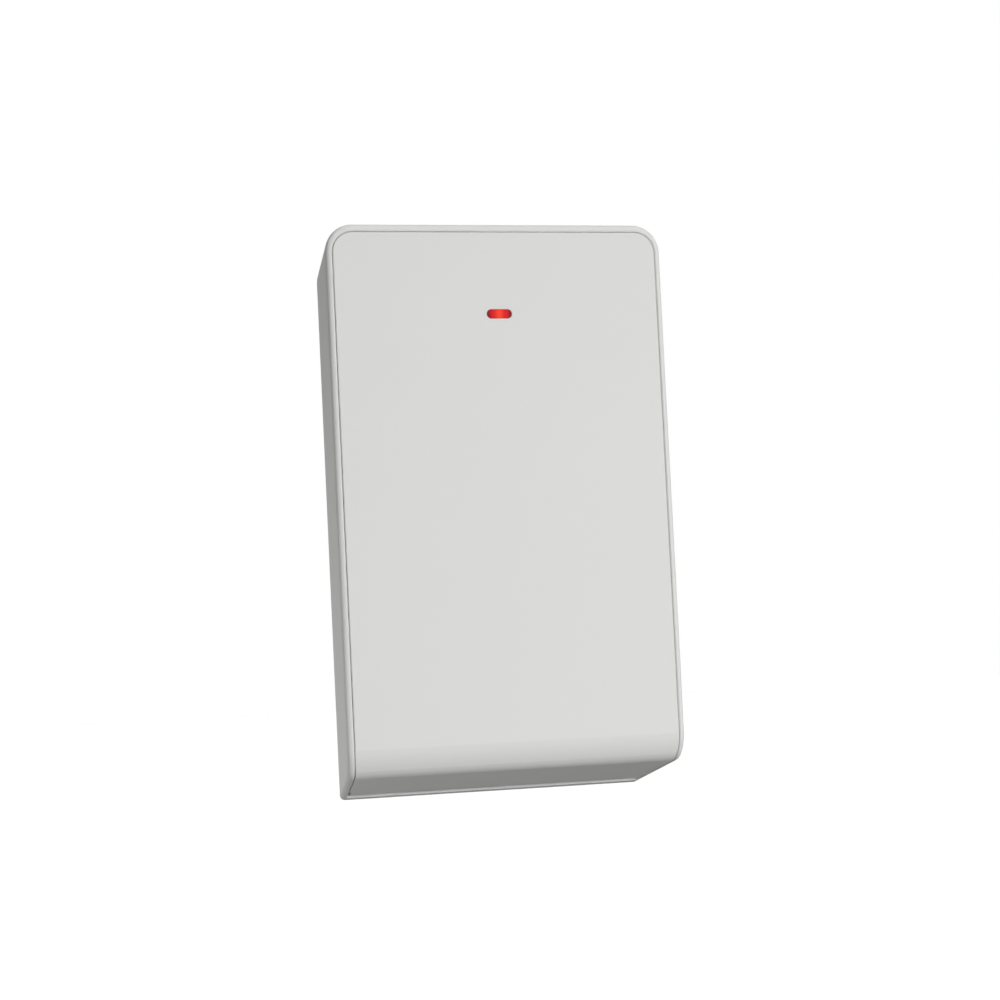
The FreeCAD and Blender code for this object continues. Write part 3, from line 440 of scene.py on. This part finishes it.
def skin(name, grid, material, body="housing", ring=False):
    """Closed surfaces, one for each copy in an array of copies, rows, columns and coordinates.
    Columns close on themselves. Rows close on themselves in a ring, and otherwise the first and
    the last are filled to their middle. Points of a copy that coincide become one, a quad that
    loses a corner becomes a triangle, and a copy whose volume comes out negative is turned."""
    grid = np.asarray(grid, dtype=float)
    if not ring:
        first, last = (grid[:, [row]].mean(axis=2, keepdims=True).repeat(grid.shape[2], axis=2)
                       for row in (0, -1))
        grid = np.concatenate([first, grid, last], axis=1)
    copies, rows, columns = grid.shape[:3]
    index = np.arange(copies * rows * columns).reshape(copies, rows, columns)
    over = np.roll(index, -1, axis=1)
    if not ring:
        index, over = index[:, :-1], over[:, :-1]
    quads = np.stack([index, np.roll(index, -1, axis=2), np.roll(over, -1, axis=2), over], axis=-1)
    points = grid.reshape(-1, 3)
    centred = (grid - grid.mean(axis=(1, 2), keepdims=True)).reshape(-1, 3)
    a, b, c, d = (centred[quads[..., k]] for k in range(4))
    volume = (a * (np.cross(b, c) + np.cross(c, d))).sum(axis=(1, 2, 3))
    quads = np.where((volume < 0)[:, None, None, None], quads[..., ::-1], quads).reshape(-1, 4)
    owner = np.arange(copies).repeat(rows * columns)
    keys = np.column_stack([owner, np.round(points / (same_point * mm)).astype(np.int64)])
    _, kept, merged = np.unique(keys, axis=0, return_index=True, return_inverse=True)
    quads = merged.reshape(-1)[quads]
    same = quads == np.roll(quads, -1, axis=1)
    faces = quads[~same.any(axis=1)].tolist()
    for corner in range(4):
        chosen = quads[same[:, corner] & (same.sum(axis=1) == 1)]
        faces += np.delete(chosen, corner, axis=1).tolist()
    mesh = bpy.data.meshes.new(name)
    mesh.from_pydata(points[kept], [], faces)
    mesh.shade_smooth()
    mesh.set_sharp_from_angle(angle=sharp_angle)
    return add_piece(name, mesh, material, body)


def on_board(x, up, height):
    """Points from their x and their height along Z in millimetres and their height above the
    board's face in millimetres."""
    return np.stack(np.broadcast_arrays(x * mm, board_face - height * mm, up * mm), axis=-1)


def blocks(places, sizes, low, high, corner, edge):
    """Upright blocks: the plan is a rectangle with round corners, and near the top it shrinks by
    edge times 1 - cos t while the height rises by edge times sin t, for t from 0 to 90 degrees."""
    places, sizes = np.atleast_2d(places), np.atleast_2d(sizes)
    t = np.linspace(0, np.pi / 2, 4)
    inset = np.concatenate([[0], edge * (1 - np.cos(t))])[None, :, None]
    low, high = np.reshape(low, (-1, 1, 1)), np.reshape(high, (-1, 1, 1))
    height = high - edge + edge * np.sin(t)[:, None]
    height = np.concatenate([low + 0 * height[:, :1], height], axis=1)
    turn = (np.arange(4)[:, None] * np.pi / 2 + t).reshape(-1)
    way = np.array([(1, -1, -1, 1), (1, 1, -1, -1)])
    radius = np.maximum(corner - inset, least_radius)
    flat = []
    for axis, wave in ((0, np.cos), (1, np.sin)):
        half = (sizes[:, axis] / 2)[:, None, None] - inset
        flat.append(places[:, axis][:, None, None] + way[axis].repeat(len(t)) * (half - radius)
                    + radius * wave(turn))
    return on_board(flat[0], flat[1], height)


def turned(profile, places, steps):
    """Turned shapes: each pair of the profile is a radius and a height, carried round a circle."""
    profile, places = np.asarray(profile, dtype=float), np.atleast_2d(places)
    angle = np.linspace(0, 2 * np.pi, steps, endpoint=False)
    radius = profile[None, :, 0, None]
    return on_board(places[:, 0][:, None, None] + radius * np.cos(angle),
                    places[:, 1][:, None, None] + radius * np.sin(angle),
                    profile[None, :, 1, None])


def strips(paths, width, low, high, closed=False):
    """Flat strips: a rectangle carried along each path of x, z pairs. At a bend it is set along
    the sum of the two square directions and widened by one over the cosine of half the turn."""
    paths = np.asarray(paths, dtype=float)
    if closed:
        before, after = paths - np.roll(paths, 1, axis=1), np.roll(paths, -1, axis=1) - paths
    else:
        steps = np.diff(paths, axis=1)
        before = np.concatenate([steps[:, :1], steps], axis=1)
        after = np.concatenate([steps, steps[:, -1:]], axis=1)
    before, after = (way / np.linalg.norm(way, axis=2, keepdims=True) for way in (before, after))
    square = np.stack([-(before + after)[..., 1], (before + after)[..., 0]], axis=-1)
    square /= (square * np.stack([-after[..., 1], after[..., 0]], axis=-1)).sum(axis=2, keepdims=True)
    side = np.array([-0.5, 0.5, 0.5, -0.5]) * width
    height = np.array([low, low, high, high])
    flat = paths[:, :, None, :] + square[:, :, None, :] * side[None, None, :, None]
    return on_board(flat[..., 0], flat[..., 1], np.broadcast_to(height, flat.shape[:-1]))


def ramps(places, ways, length, width, height):
    """Solder fillets: a hollow ramp h = height (1 - s)^2 for s from 0 at the part to 1 at its
    toe, carried across the width of the part, a quarter less long and high at its two sides. Each
    starts at its place and runs along its way, a unit vector in plan."""
    places, ways = np.atleast_2d(places)[:, None, None], np.atleast_2d(ways)[:, None, None]
    s = np.linspace(0, 1, 7)
    share = np.array([0.75, 1.0, 1.0, 0.75])[:, None]
    out = share * length * np.concatenate([s, [0]])
    high = share * height * np.concatenate([(1 - s) ** 2, [0]])
    across = width * np.array([-0.5, -0.42, 0.42, 0.5])[:, None] + 0 * out
    square = np.stack([-ways[..., 1], ways[..., 0]], axis=-1)
    flat = places + ways * out[..., None] + square * across[..., None]
    return on_board(flat[..., 0], flat[..., 1], high)


def domes(places, radius, height, low=0):
    """Domes: a quarter of an ellipse turned round each place, up to 2 hundredths of a quarter
    turn before the axis, where the last ring is filled."""
    t = np.linspace(0, 0.98 * np.pi / 2, 7)
    return turned(list(zip(radius * np.cos(t), low + height * np.sin(t))), places, steps=28)


def pressed(grid, places, first, turns, arms, depth, half, reach):
    """The grid with a recess pressed into the rows of each copy from the first one given. Seen
    along its axis the recess is one straight arm or two crossed ones: its depth falls to nothing
    over the last quarter of its half width and the last fifth of its reach."""
    out = grid.copy()
    x = grid[..., 0] / mm - places[:, 0][:, None, None]
    z = grid[..., 2] / mm - places[:, 1][:, None, None]
    turns = np.asarray(turns)[:, None, None]
    u = np.abs(x * np.cos(turns) + z * np.sin(turns))
    v = np.abs(z * np.cos(turns) - x * np.sin(turns))
    narrow, wide = (np.minimum(u, v), np.maximum(u, v)) if arms == 2 else (v, u)
    share = np.clip((half - narrow) / (0.25 * half), 0, 1) * np.clip((reach - wide) / (0.2 * reach), 0, 1)
    out[:, first:, :, 1] += (share * depth * mm)[:, first:]
    return out


def solids_of(node):
    """Lowest and highest corner of each solid of a CAD node, in millimetres. Points that coincide
    are one, and the least number among a triangle's points spreads until nothing changes."""
    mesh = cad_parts[node].data
    points = np.empty(3 * len(mesh.vertices))
    mesh.vertices.foreach_get("co", points)
    points = points.reshape(-1, 3) / mm
    loops = np.empty(len(mesh.loops), dtype=np.int64)
    mesh.loops.foreach_get("vertex_index", loops)
    merged = np.unique(np.round(points / same_point), axis=0, return_inverse=True)[1].reshape(-1)
    triangles = merged[loops].reshape(-1, 3)
    label = np.arange(merged.max() + 1)
    spread = label - 1
    while (spread != label).any():
        spread = label.copy()
        np.minimum.at(label, triangles.reshape(-1), label[triangles].min(axis=1).repeat(3))
    owner = label[merged]
    return np.array([(points[owner == one].min(axis=0), points[owner == one].max(axis=0))
                     for one in np.unique(owner)])


def plan(boxes):
    """Middle and size in plan, and lower and upper height above the board, of boxes in
    millimetres."""
    boxes = np.asarray(boxes).reshape(-1, 2, 3)
    face = board_face / mm
    return (boxes[:, :, (0, 2)].mean(axis=1), boxes[:, 1, (0, 2)] - boxes[:, 0, (0, 2)],
            face - boxes[:, 1, 1], face - boxes[:, 0, 1])


def plan_of(node):
    """Middle and size in plan and upper height of a whole CAD node, in millimetres."""
    low, high = corners(node)
    middles, sizes, _, top = plan([low / mm, high / mm])
    return middles[0], sizes[0], top[0]


def lettering(name, words, size, material, body):
    """Raised plain numbers and words in one piece: each has its text, its middle x and z and the
    height of its face above the board. A text is laid in the XZ plane before it is placed."""
    points, faces, count = [], [], 0
    for text, x, z, height in words:
        curve = bpy.data.curves.new(name, "FONT")
        curve.body = text
        curve.size = size * mm
        curve.extrude = 0.5 * ink_height * mm
        curve.align_x = curve.align_y = "CENTER"
        holder = bpy.data.objects.new(name, curve)
        mesh = bpy.data.meshes.new_from_object(holder)
        flat = np.empty(3 * len(mesh.vertices))
        mesh.vertices.foreach_get("co", flat)
        flat = flat.reshape(-1, 3)
        points.append(np.column_stack([flat[:, 0] + x * mm, board_face - height * mm - flat[:, 2],
                                       flat[:, 1] + z * mm]))
        faces += [[count + corner for corner in face.vertices] for face in mesh.polygons]
        count += len(flat)
        bpy.data.objects.remove(holder)
        bpy.data.curves.remove(curve)
        bpy.data.meshes.remove(mesh)
    mesh = bpy.data.meshes.new(name)
    mesh.from_pydata(np.concatenate(points), [], faces)
    return add_piece(name, mesh, material, body)


def add_screws():
    """Pan head screws with a pressed cross, and slotted clamp screws with a broken edge. The head
    is a quarter of an ellipse from its side to nearly its axis."""
    places, sizes, low, high = plan(solids_of("board_screws"))
    radius, low, high = sizes[0, 0] / 2, low[0], high[0]
    thread, tip, taper, rim = 1.25, 0.7, 0.6, 0.1
    side = 0.4 * high                         # where the round of the head starts
    t = np.linspace(0, 0.98 * np.pi / 2, 26)
    profile = [(tip, low), (thread, low + taper), (thread, 0.0), (radius - rim, 0.0), (radius, rim)]
    profile += list(zip(radius * np.cos(t), side + (high - side) * np.sin(t)))
    heads = pressed(turned(profile, places, steps=96), places, first=5, turns=(0.2, 0.8, -0.35, 1.2),
                    arms=2, depth=1.1, half=0.44, reach=1.7)
    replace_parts(skin("pan_head_screws", heads, zinc), "board_screws")
    places, sizes, low, high = plan(solids_of("terminal_screws"))
    radius, low, high = sizes[0, 0] / 2, low[0], high[0]
    round_edge = 0.2
    flat = radius - round_edge
    t = np.linspace(0, np.pi / 2, 5)
    profile = [(flat, low), (radius, low + round_edge)]
    profile += list(zip(flat + round_edge * np.cos(t), high - round_edge + round_edge * np.sin(t)))
    profile += [(share * flat, high) for share in np.linspace(0.94, 0.04, 16)]
    clamps = pressed(turned(profile, places, steps=96), places, first=2, turns=(0.3, 1.9, 1.1, 2.6),
                     arms=1, depth=0.7, half=0.34, reach=9.0)
    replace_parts(skin("clamp_screws", clamps, zinc), "terminal_screws")


def add_pins():
    """Square header pins with pointed tips."""
    places, sizes, low, high = plan(solids_of("header_pins"))
    pins = blocks(places, sizes, low, high, corner=0.05, edge=0.22)
    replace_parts(skin("pointed_pins", pins, gold), "header_pins")


def add_capacitors():
    """Can capacitors: a shrunk sleeve with a round crimp groove and a rolled rim, a scored
    aluminium top inside the rim, and a pale stripe down the side of the negative leg."""
    places, sizes, _, high = plan(solids_of("electrolytic_capacitors"))
    radius, high = sizes[0, 0] / 2, high[0]
    roll, lip, lip_drop = 0.3, 0.62, 0.4
    crimp_depth, crimp_foot, crimp_height, foot_edge = 0.35, 1.0, 1.1, 0.2
    t = np.linspace(0, 1, 9)
    groove = list(zip(radius - crimp_depth * np.sin(np.pi * t) ** 2, crimp_foot + crimp_height * t))
    rim = list(zip(radius - roll + roll * np.cos(np.pi * t), high - roll + roll * np.sin(np.pi * t)))
    profile = [(radius - roll, 0.0), (radius, foot_edge)] + groove + rim + [(radius - lip, high - lip_drop)]
    sleeve = skin("capacitor_sleeves", turned(profile, places, steps=64), sleeve_blue)
    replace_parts(sleeve, "electrolytic_capacitors")
    inner, top, top_edge, top_depth = radius - 0.55, high - 0.24, 0.02, 0.26
    profile = [(inner, top - top_depth), (inner, top - top_edge)]
    profile += [(share * inner, top) for share in np.linspace(0.97, 0.03, 22)]
    tops = pressed(turned(profile, places, steps=96), places, first=2, turns=(0.5, 0.1), arms=2,
                   depth=0.09, half=0.12, reach=2.2)
    skin("capacitor_tops", tops, aluminium)
    half_angle, proud, sunk, foot, head = 0.42, 0.015, 0.1, 2.3, 0.7
    angle = np.linspace(-half_angle, half_angle, 13) + np.pi / 2
    loop = np.concatenate([angle, angle[::-1]])
    shell = radius + np.repeat([proud, -sunk], len(angle))
    height = np.linspace(foot, high - head, 3)
    stripe = on_board(places[:, 0][:, None, None] + shell * np.cos(loop),
                      places[:, 1][:, None, None] + shell * np.sin(loop), height[None, :, None])
    skin("capacitor_stripes", stripe, white_ink)


def add_pads(name, places, sizes, corner=0.1):
    """Flat pads of solder with round corners."""
    skin(name, blocks(places, sizes, 0, plate_height, corner, edge=pad_edge), solder)


def add_chip_parts():
    """Metal ends, solder and black glazed faces of the small chip parts. Every second part is a
    resistor and has a face, which fills what the ends leave free."""
    places, sizes, _, high = plan(solids_of("chip_components"))
    (length, width), high = sizes[0], high[0]
    ways = np.repeat(both_ways, len(places), axis=0)
    cap, inset, plating, slack = 0.34, 0.14, 0.03, 0.04
    ends = np.concatenate([places, places]) + (length / 2 - inset) * ways
    caps = blocks(ends, [(cap, width + slack)], 0, high + plating, corner=0.06, edge=0.05)
    skin("chip_part_ends", caps, tinned)
    lap, pad_out, pad_length, border = 0.1, 0.16, 0.9, 0.3
    fillets = ramps(ends + lap * ways, ways, length=0.42, width=width, height=0.8 * high)
    skin("chip_part_solder", fillets, solder)
    add_pads("chip_part_pads", ends + pad_out * ways, [(pad_length, width + border)])
    face, sunk, proud = (length - 2 * (cap - plating), width - slack), 0.05, 0.02
    faces = blocks(places[::2], [face], high - sunk, high + proud, corner=0.04, edge=0.01)
    skin("resistor_faces", faces, glaze)


def chip_tips():
    """Toes of the chip's leads and the ways they point, in order right, up, left, down. They are
    the short boxes of the leads near the chip."""
    nearby, longest = 5, 1.3
    middle = plan_of("microcontroller")[0]
    places, sizes, _, _ = plan(solids_of("component_leads"))
    near = (np.abs(places - middle).max(axis=1) < nearby) & (sizes.max(axis=1) < longest)
    away = places[near] - middle
    along_x = np.abs(away[:, 0]) > np.abs(away[:, 1])
    ways = np.where(along_x[:, None], np.sign(away) * (1, 0), np.sign(away) * (0, 1))
    return places[near] + ways * sizes[near].max(axis=1)[:, None] / 2, ways


def add_chip_solder():
    """Pads and fillets under the toes of the chip's leads, and solder on the regulator's feet,
    which are the leads wider than half a millimetre both ways."""
    tips, ways = chip_tips()
    length, width, heel, lap = 1.5, 0.5, 0.35, 0.02
    sizes = np.where(np.abs(ways[:, :1]) > 0.5, (length, width), (width, length))
    add_pads("chip_pads", tips - heel * ways, sizes)
    skin("chip_solder", ramps(tips - lap * ways, ways, length=0.3, width=0.4, height=0.17), solder)
    border, narrowest = 0.9, 0.5
    places, sizes, _, _ = plan(solids_of("component_leads"))
    wide = sizes.min(axis=1) > narrowest
    add_pads("regulator_pads", places[wide], sizes[wide] + border, corner=0.2)


def add_radio_solder():
    """Plated half holes along the edges of the radio board with solder in them, solder at the
    corners of its can and on the feet of the two antennas."""
    (x, z), (length, _), top = plan_of("receiver_board")
    places = np.array([(x + side * length / 2, z + pin_pitch * step) for side in (-1, 1)
                       for step in range(-2, 3)])
    ways = np.sign(places[:, :1] - x) * (1, 0)
    pad, pad_out, bead_out, hole, land, sunk = (1.9, 1.3), 0.35, 0.16, 0.76, 0.58, 0.02
    add_pads("radio_pads", places + pad_out * ways, [pad], corner=0.15)
    angle = np.linspace(-np.pi / 2, np.pi / 2, 13)
    arc = hole * np.stack([-np.cos(angle), np.sin(angle)], axis=-1)
    arcs = places[:, None, :] + arc * np.where(ways[:, None, :1] > 0, (1, 1), (-1, 1))
    skin("radio_lands", strips(arcs, land, top - sunk, top + plate_height), tinned)
    skin("radio_solder", domes(places + bead_out * ways, radius=0.66, height=0.8), solder)
    (x, z), (length, width), _ = plan_of("shield_can")
    inset = 2.4
    spots = [(x + sx * (length / 2 - inset), z + sz * width / 2) for sx in (-1, 1) for sz in (-1, 1)]
    skin("can_solder", domes(spots, radius=0.8, height=0.45, low=top), solder)
    skin("antenna_solder", domes(antenna_feet, radius=1.25, height=0.7), solder)


def add_holes(name, places):
    """Plated through holes: a low ring of tin round a black disc of painted shade, which stands for the
    dark inside of the hole.
    """
    middle, half, rise, slack = 0.36, 0.11, 0.05, 0.01
    t = np.linspace(np.pi, 0, 5)
    ring = list(zip(middle + half * np.cos(t), track_height + rise * np.sin(t)))
    ring = [(middle - half, 0)] + ring + [(middle + half, 0)]
    skin(name, turned(ring, places, steps=20), tinned, ring=True)
    # the eye of each hole is a black disc: painted shade in place of the dark inside of the hole
    hole_shade_radius = middle - half + slack
    painted_hole_shades = turned([(hole_shade_radius, 0), (hole_shade_radius, track_height)], places, steps=16)
    skin(name + "_eyes", painted_hole_shades, black_nylon)


def add_copper(name, paths, width):
    """Copper under the resist, as low ridges along paths of x, z pairs."""
    skin(name, strips(paths, width, 0, track_height), copper_green)


def add_tracks():
    """Tracks and holes. Every lead of the chip fans out over 45 degrees to a plated hole, the
    radio's contacts run down beside its board, the antennas feed its upper corners, and wide
    tracks carry the supply."""
    tips, ways = chip_tips()
    square = np.column_stack([-ways[:, 1], ways[:, 0]])
    across = ((tips - plan_of("microcontroller")[0]) * square).sum(axis=1, keepdims=True)
    under, straight, spread, near_hole, far_hole, crowd = 0.1, 0.3, 0.375, 0.35, 1.3, 2.5
    out = spread * np.abs(across)
    bend = tips + straight * ways
    after = bend + out * ways + np.sign(across) * out * square
    odd = (np.round(np.abs(across) / lead_pitch - 0.5) % 2 > 0.5) & (ways[:, :1] < 0.5)
    end = after + np.where(odd, far_hole, near_hole) * ways
    add_copper("fan_out_tracks", np.stack([tips - under * ways, bend, after, end], axis=1), fan_width)
    crowded = (ways[:, 0] > 0.5) & (np.abs(across[:, 0]) > crowd)
    add_holes("fan_out_holes", end[~crowded])
    rows = np.arange(5)
    level = radio_level + pin_pitch * (rows - 2)
    lane = radio_lane + lane_pitch * rows
    foot = radio_foot - foot_step * (rows % 2)
    right = np.array([(0 * lane + radio_edge, level), (lane - chamfer, level), (lane, level - chamfer),
                      (lane, foot)]).transpose(2, 0, 1)
    buses = np.concatenate([right, right * (-1, 1)])
    add_copper("radio_tracks", buses, track_width)
    add_holes("radio_holes", buses[:, -1])
    thin = np.array(thin_tracks)
    add_copper("thin_tracks", thin, track_width)
    add_holes("thin_holes", thin[-3:, -1])
    add_copper("wide_tracks", wide_tracks, supply_width)
    places = plan(solids_of("board_screws"))[0]
    inner, outer = 1.7, 3.2
    ring = [(inner, 0), (inner, plate_height), (outer, plate_height), (outer, 0)]
    skin("screw_rings", turned(ring, places, steps=64), tinned, ring=True)
    spot = 0.5
    skin("sight_marks", turned([(spot, 0), (spot, plate_height)], sight_marks, steps=32), tinned)


def add_feet():
    """Solder clips of the inductor, and the bent legs and rivets of the tamper switch."""
    (x, z), (length, _), _ = plan_of("power_inductor")
    ways = np.array(both_ways)
    ends = np.array([x, z]) + ways * length / 2
    clip, clip_height, clip_in, lap = (1.1, 3.0), 0.9, 0.2, 0.3
    clips = blocks(ends - clip_in * ways, [clip], 0, clip_height, corner=0.1, edge=0.12)
    skin("inductor_clips", clips, tinned)
    skin("inductor_solder", ramps(ends + lap * ways, ways, length=0.8, width=3.2, height=0.7), solder)
    (x, z), (length, _), top = plan_of("tamper_switch")
    leg, leg_height, leg_row, leg_out, lap, rivet = (0.9, 0.7), 0.5, 2.25, 0.35, 0.4, 2.3
    ways = np.repeat(both_ways, 2, axis=0)
    legs = np.array([x, z]) + ways * (length / 2 + leg_out) + np.array([(0, -leg_row), (0, leg_row)] * 2)
    skin("switch_legs", blocks(legs, [leg], 0, leg_height, corner=0.1, edge=0.15), tinned)
    skin("switch_solder", ramps(legs + lap * ways, ways, length=0.6, width=0.9, height=0.4), solder)
    rivets = np.array([x, z]) + [(sx * rivet, sz * rivet) for sx in (-1, 1) for sz in (-1, 1)]
    skin("switch_rivets", domes(rivets, radius=0.35, height=0.16, low=top), black_nylon)


def add_ink():
    """Screened outlines round the parts, a dot at the first lead of the chip, and plain numbers
    for the ways of the terminals and of the switch. An outline is a closed path: the corners of
    a rectangle, or points round a circle."""
    outlines = [plan_of(node)[:2] for node in outlined_parts]
    boxes = [(place, size + part_gap) for place, size in outlines]
    chips = plan(solids_of("chip_components"))
    boxes += [(place, size + chip_gap) for place, size in zip(chips[0], chips[1])]
    signs = np.array([(-1, -1), (1, -1), (1, 1), (-1, 1)])
    squares = [place + signs * size / 2 for place, size in boxes]
    cans = plan(solids_of("electrolytic_capacitors"))[0]
    lamp = plan_of("status_led")[0]
    radii = np.array([can_ring] * len(cans) + [lamp_ring])[:, None, None]
    angle = np.linspace(0, 2 * np.pi, 36, endpoint=False)
    rings = (np.concatenate([cans, [lamp]])[:, None]
             + radii * np.stack([np.cos(angle), np.sin(angle)], axis=-1))
    for name, paths in (("ink_frames", squares), ("ink_rings", rings)):
        ridges = strips(paths, ink_width, 0, ink_height, closed=True)
        skin(name, ridges, white_ink, ring=True)
    dot, dot_out = 0.3, (-4.6, 4.4)
    dot_place = plan_of("microcontroller")[0] + dot_out
    skin("ink_dot", turned([(dot, 0), (dot, ink_height)], dot_place, steps=24), white_ink)
    size, beside_way, way_level, inset, beside_slider = 1.5, 1.5, -26.1, 1.2, 3.8
    ways = np.sort(plan(solids_of("terminal_screws"))[0][:, 0])
    words = [("%d" % (n + 1), x + beside_way, way_level, 0.5 * ink_height) for n, x in enumerate(ways)]
    (x, z), (_, depth), top = plan_of("address_switch")
    for n in switch_ways:
        words.append(("%d" % n, plan_of("address_slider_%d" % n)[0][0], z - depth / 2 + inset, top))
    words.append(("ON", x - beside_slider, z + depth / 2 - inset, top))
    lettering("ink_numbers", words, size, white_ink, "housing")


def add_pin_marks():
    """Faint rings that the tool's ejector pins leave inside the case and its cover: half a wave
    from the inner to the outer radius, on the floor of the one and the roof of the other."""
    middle, half, rise, sunk = 2.5, 0.25, 0.12, 0.1
    t = np.linspace(0, np.pi, 5)
    wave = list(zip(middle - half * np.cos(t), rise * np.sin(t)))
    wave = [(middle - half, -sunk)] + wave + [(middle + half, -sunk)]
    for body, level, sign, places in (("housing", housing_floor, 1, housing_marks),
                                      ("cover", cover_roof, -1, cover_marks)):
        profile = [(radius, board_face / mm - level + sign * height) for radius, height in wave]
        skin(body + "_pin_marks", turned(profile, places, steps=64), case_plastic, body,
             ring=True)


def soften(width, *nodes):
    """Small round edges on CAD nodes: points that coincide are joined, then the sharp edges are
    rounded."""
    for name in nodes:
        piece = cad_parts[name]
        join = piece.modifiers.new("join", "WELD")
        join.merge_threshold = 0.001 * mm
        edge = piece.modifiers.new("edge", "BEVEL")
        edge.width = width * mm
        edge.segments = 2
        edge.limit_method = "ANGLE"
        edge.angle_limit = math.radians(40)
        edge.harden_normals = True


board_face = corners("circuit_board")[0][1]
window_front = corners("light_pipe")[0][1]
led_low, led_high = corners("status_led")
led_glow = (0, led_low[1] + glow_depth * mm, (led_low[2] + led_high[2]) / 2)

# Case: an even satin white, and the clear red window that the lamp shines into
case_plastic = moulded_plastic("moulded_abs_white", "#DBDBD9", "#DDDDDB", 0.58, gloss=0.2)
dress(case_plastic, "rear_housing", "front_cover")
dress(lit_window("polished_red_acrylic", window_front, window_half * mm), "light_pipe")
dress(lit_lamp("cast_red_epoxy", led_glow), "status_led")

# Boards: glossy lacquer with a faint weave, darker on the radio's board, paler over copper
dress(coated_laminate("green_solder_resist", "#1F6B3A", "#17592F", "#B9A878"), "circuit_board")
dress(coated_laminate("dark_green_solder_resist", "#0F4A35", "#0C3F2D", "#A99A6E"), "receiver_board")
copper_green = coated_laminate("solder_resist_over_copper", "#2F8B4E", "#287B44", "#2F8B4E")

# Metals: cool grey zinc, warm pale nickel on brass, bright streaked sheet, can and aluminium
zinc = worked_metal("zinc_plated_steel", "#C9CBC8", "#A9ACAA", 0.34)
dress(worked_metal("nickel_plated_brass", "#CFC3A2", "#AFA27F", 0.36), "terminal_clamps")
dress(worked_metal("tin_plated_sheet", "#D2D3D0", "#B6B8B6", 0.30, streak=(1, 1, 0.06)), "shield_can")
dress(worked_metal("drawn_nickel_can", "#D8D6D0", "#C3C1BB", 0.24, streak=(0.1, 1, 1)), "crystal")
aluminium = worked_metal("drawn_aluminium", "#D0D2D3", "#BCBEC0", 0.36, streak=(1, 1, 0.2))

# Metals of the contacts: soft grey tin, wet bright solder, yellow gold, orange rolled bronze
tinned = worked_metal("tinned_copper", "#D0D1CF", "#B0B2B1", 0.32, grain=0.3 * mm)
dress(tinned, "component_leads")
solder = worked_metal("reflowed_solder", "#C8C9CB", "#B2B3B6", 0.22, grain=0.9 * mm)
gold = worked_metal("gold_flashed_brass", "#E2C27A", "#C9A55C", 0.25, streak=(1, 0.1, 1))
dress(worked_metal("rolled_bronze_strip", "#D9AE7C", "#BE8F5C", 0.30, streak=(1, 1, 0.08)),
      "antenna_left", "antenna_right")

# Nylon: a soft sheen over a deep colour, and cream where it isn't coloured
dress(moulded_plastic("moulded_green_nylon", "#1E7A3F", "#1A7039", 0.48), "terminal_block")
black_nylon = moulded_plastic("moulded_black_nylon", "#1B1B1D", "#202022", 0.46)
dress(black_nylon, "tamper_switch", "jumper_header")
dress(moulded_plastic("moulded_red_nylon", "#A8181B", "#9C1417", 0.42), "address_switch")
dress(moulded_plastic("moulded_blue_nylon", "#1D4FA8", "#1A479A", 0.42), "jumper_shunt")
dress(moulded_plastic("natural_nylon", "#E3DDCB", "#DAD3BF", 0.44), "service_connector")

# Acetal, smooth and a little waxy, for what slides
dress(moulded_plastic("moulded_ivory_acetal", "#E4DFD0", "#DCD6C6", 0.32, depth=0.002 * mm),
      "tamper_plunger")
dress(moulded_plastic("moulded_white_acetal", "#E9E8E3", "#E2E1DB", 0.34, depth=0.002 * mm),
      *["address_slider_%d" % n for n in switch_ways])

# Bodies of the components: matt black epoxy, a shiny dark blue sleeve, speckled ferrite and ceramic
dress(moulded_plastic("moulded_black_epoxy", "#1C1C1E", "#232325", 0.62, grain=0.16 * mm),
      "microcontroller", "voltage_regulator")
sleeve_blue = moulded_plastic("shrunk_blue_sleeve", "#141A33", "#171E3C", 0.24, depth=0.001 * mm,
                              grain=1.2 * mm)
dress(speckled_ceramic("pressed_ferrite", "#3B3B3E", "#2A2A2C", 0.7, grain=0.14 * mm), "power_inductor")
dress(speckled_ceramic("fired_chip_ceramic", "#7A6650", "#5E4C3B", 0.55, grain=0.10 * mm),
      "chip_components")

# Printed layers, smooth and thin: black glass on the resistors, white ink on board and cans
glaze = moulded_plastic("black_overglaze", "#17171A", "#1B1B1E", 0.28, depth=0.001 * mm)
white_ink = moulded_plastic("screened_white_ink", "#E8E8E1", "#DFDFD7", 0.5, depth=0.001 * mm)

add_screws()
add_pins()
add_capacitors()
add_chip_parts()
add_chip_solder()
add_radio_solder()
add_tracks()
add_feet()
add_ink()
add_pin_marks()
soften(soft_edge, "terminal_block", "address_switch", "service_connector", "jumper_header", "jumper_shunt",
       "tamper_switch", "power_inductor", "voltage_regulator", "microcontroller", "shield_can")

bpy.context.scene.view_settings.view_transform = "Standard"
set_world()
set_floor()
add_lamp("top_light", "SUN", top_way, energy=top_level * math.pi, angle=sun_spread)
add_lamp("back_light", "SUN", back_way, energy=back_level * math.pi, angle=sun_spread)
add_panel_lamp("key_light", key_place, side=0.6, level=key_level)
add_panel_lamp("side_light", side_place, side=0.08, level=side_level)
add_panel_lamp("low_light", low_place, side=0.1, level=low_level)
set_camera()
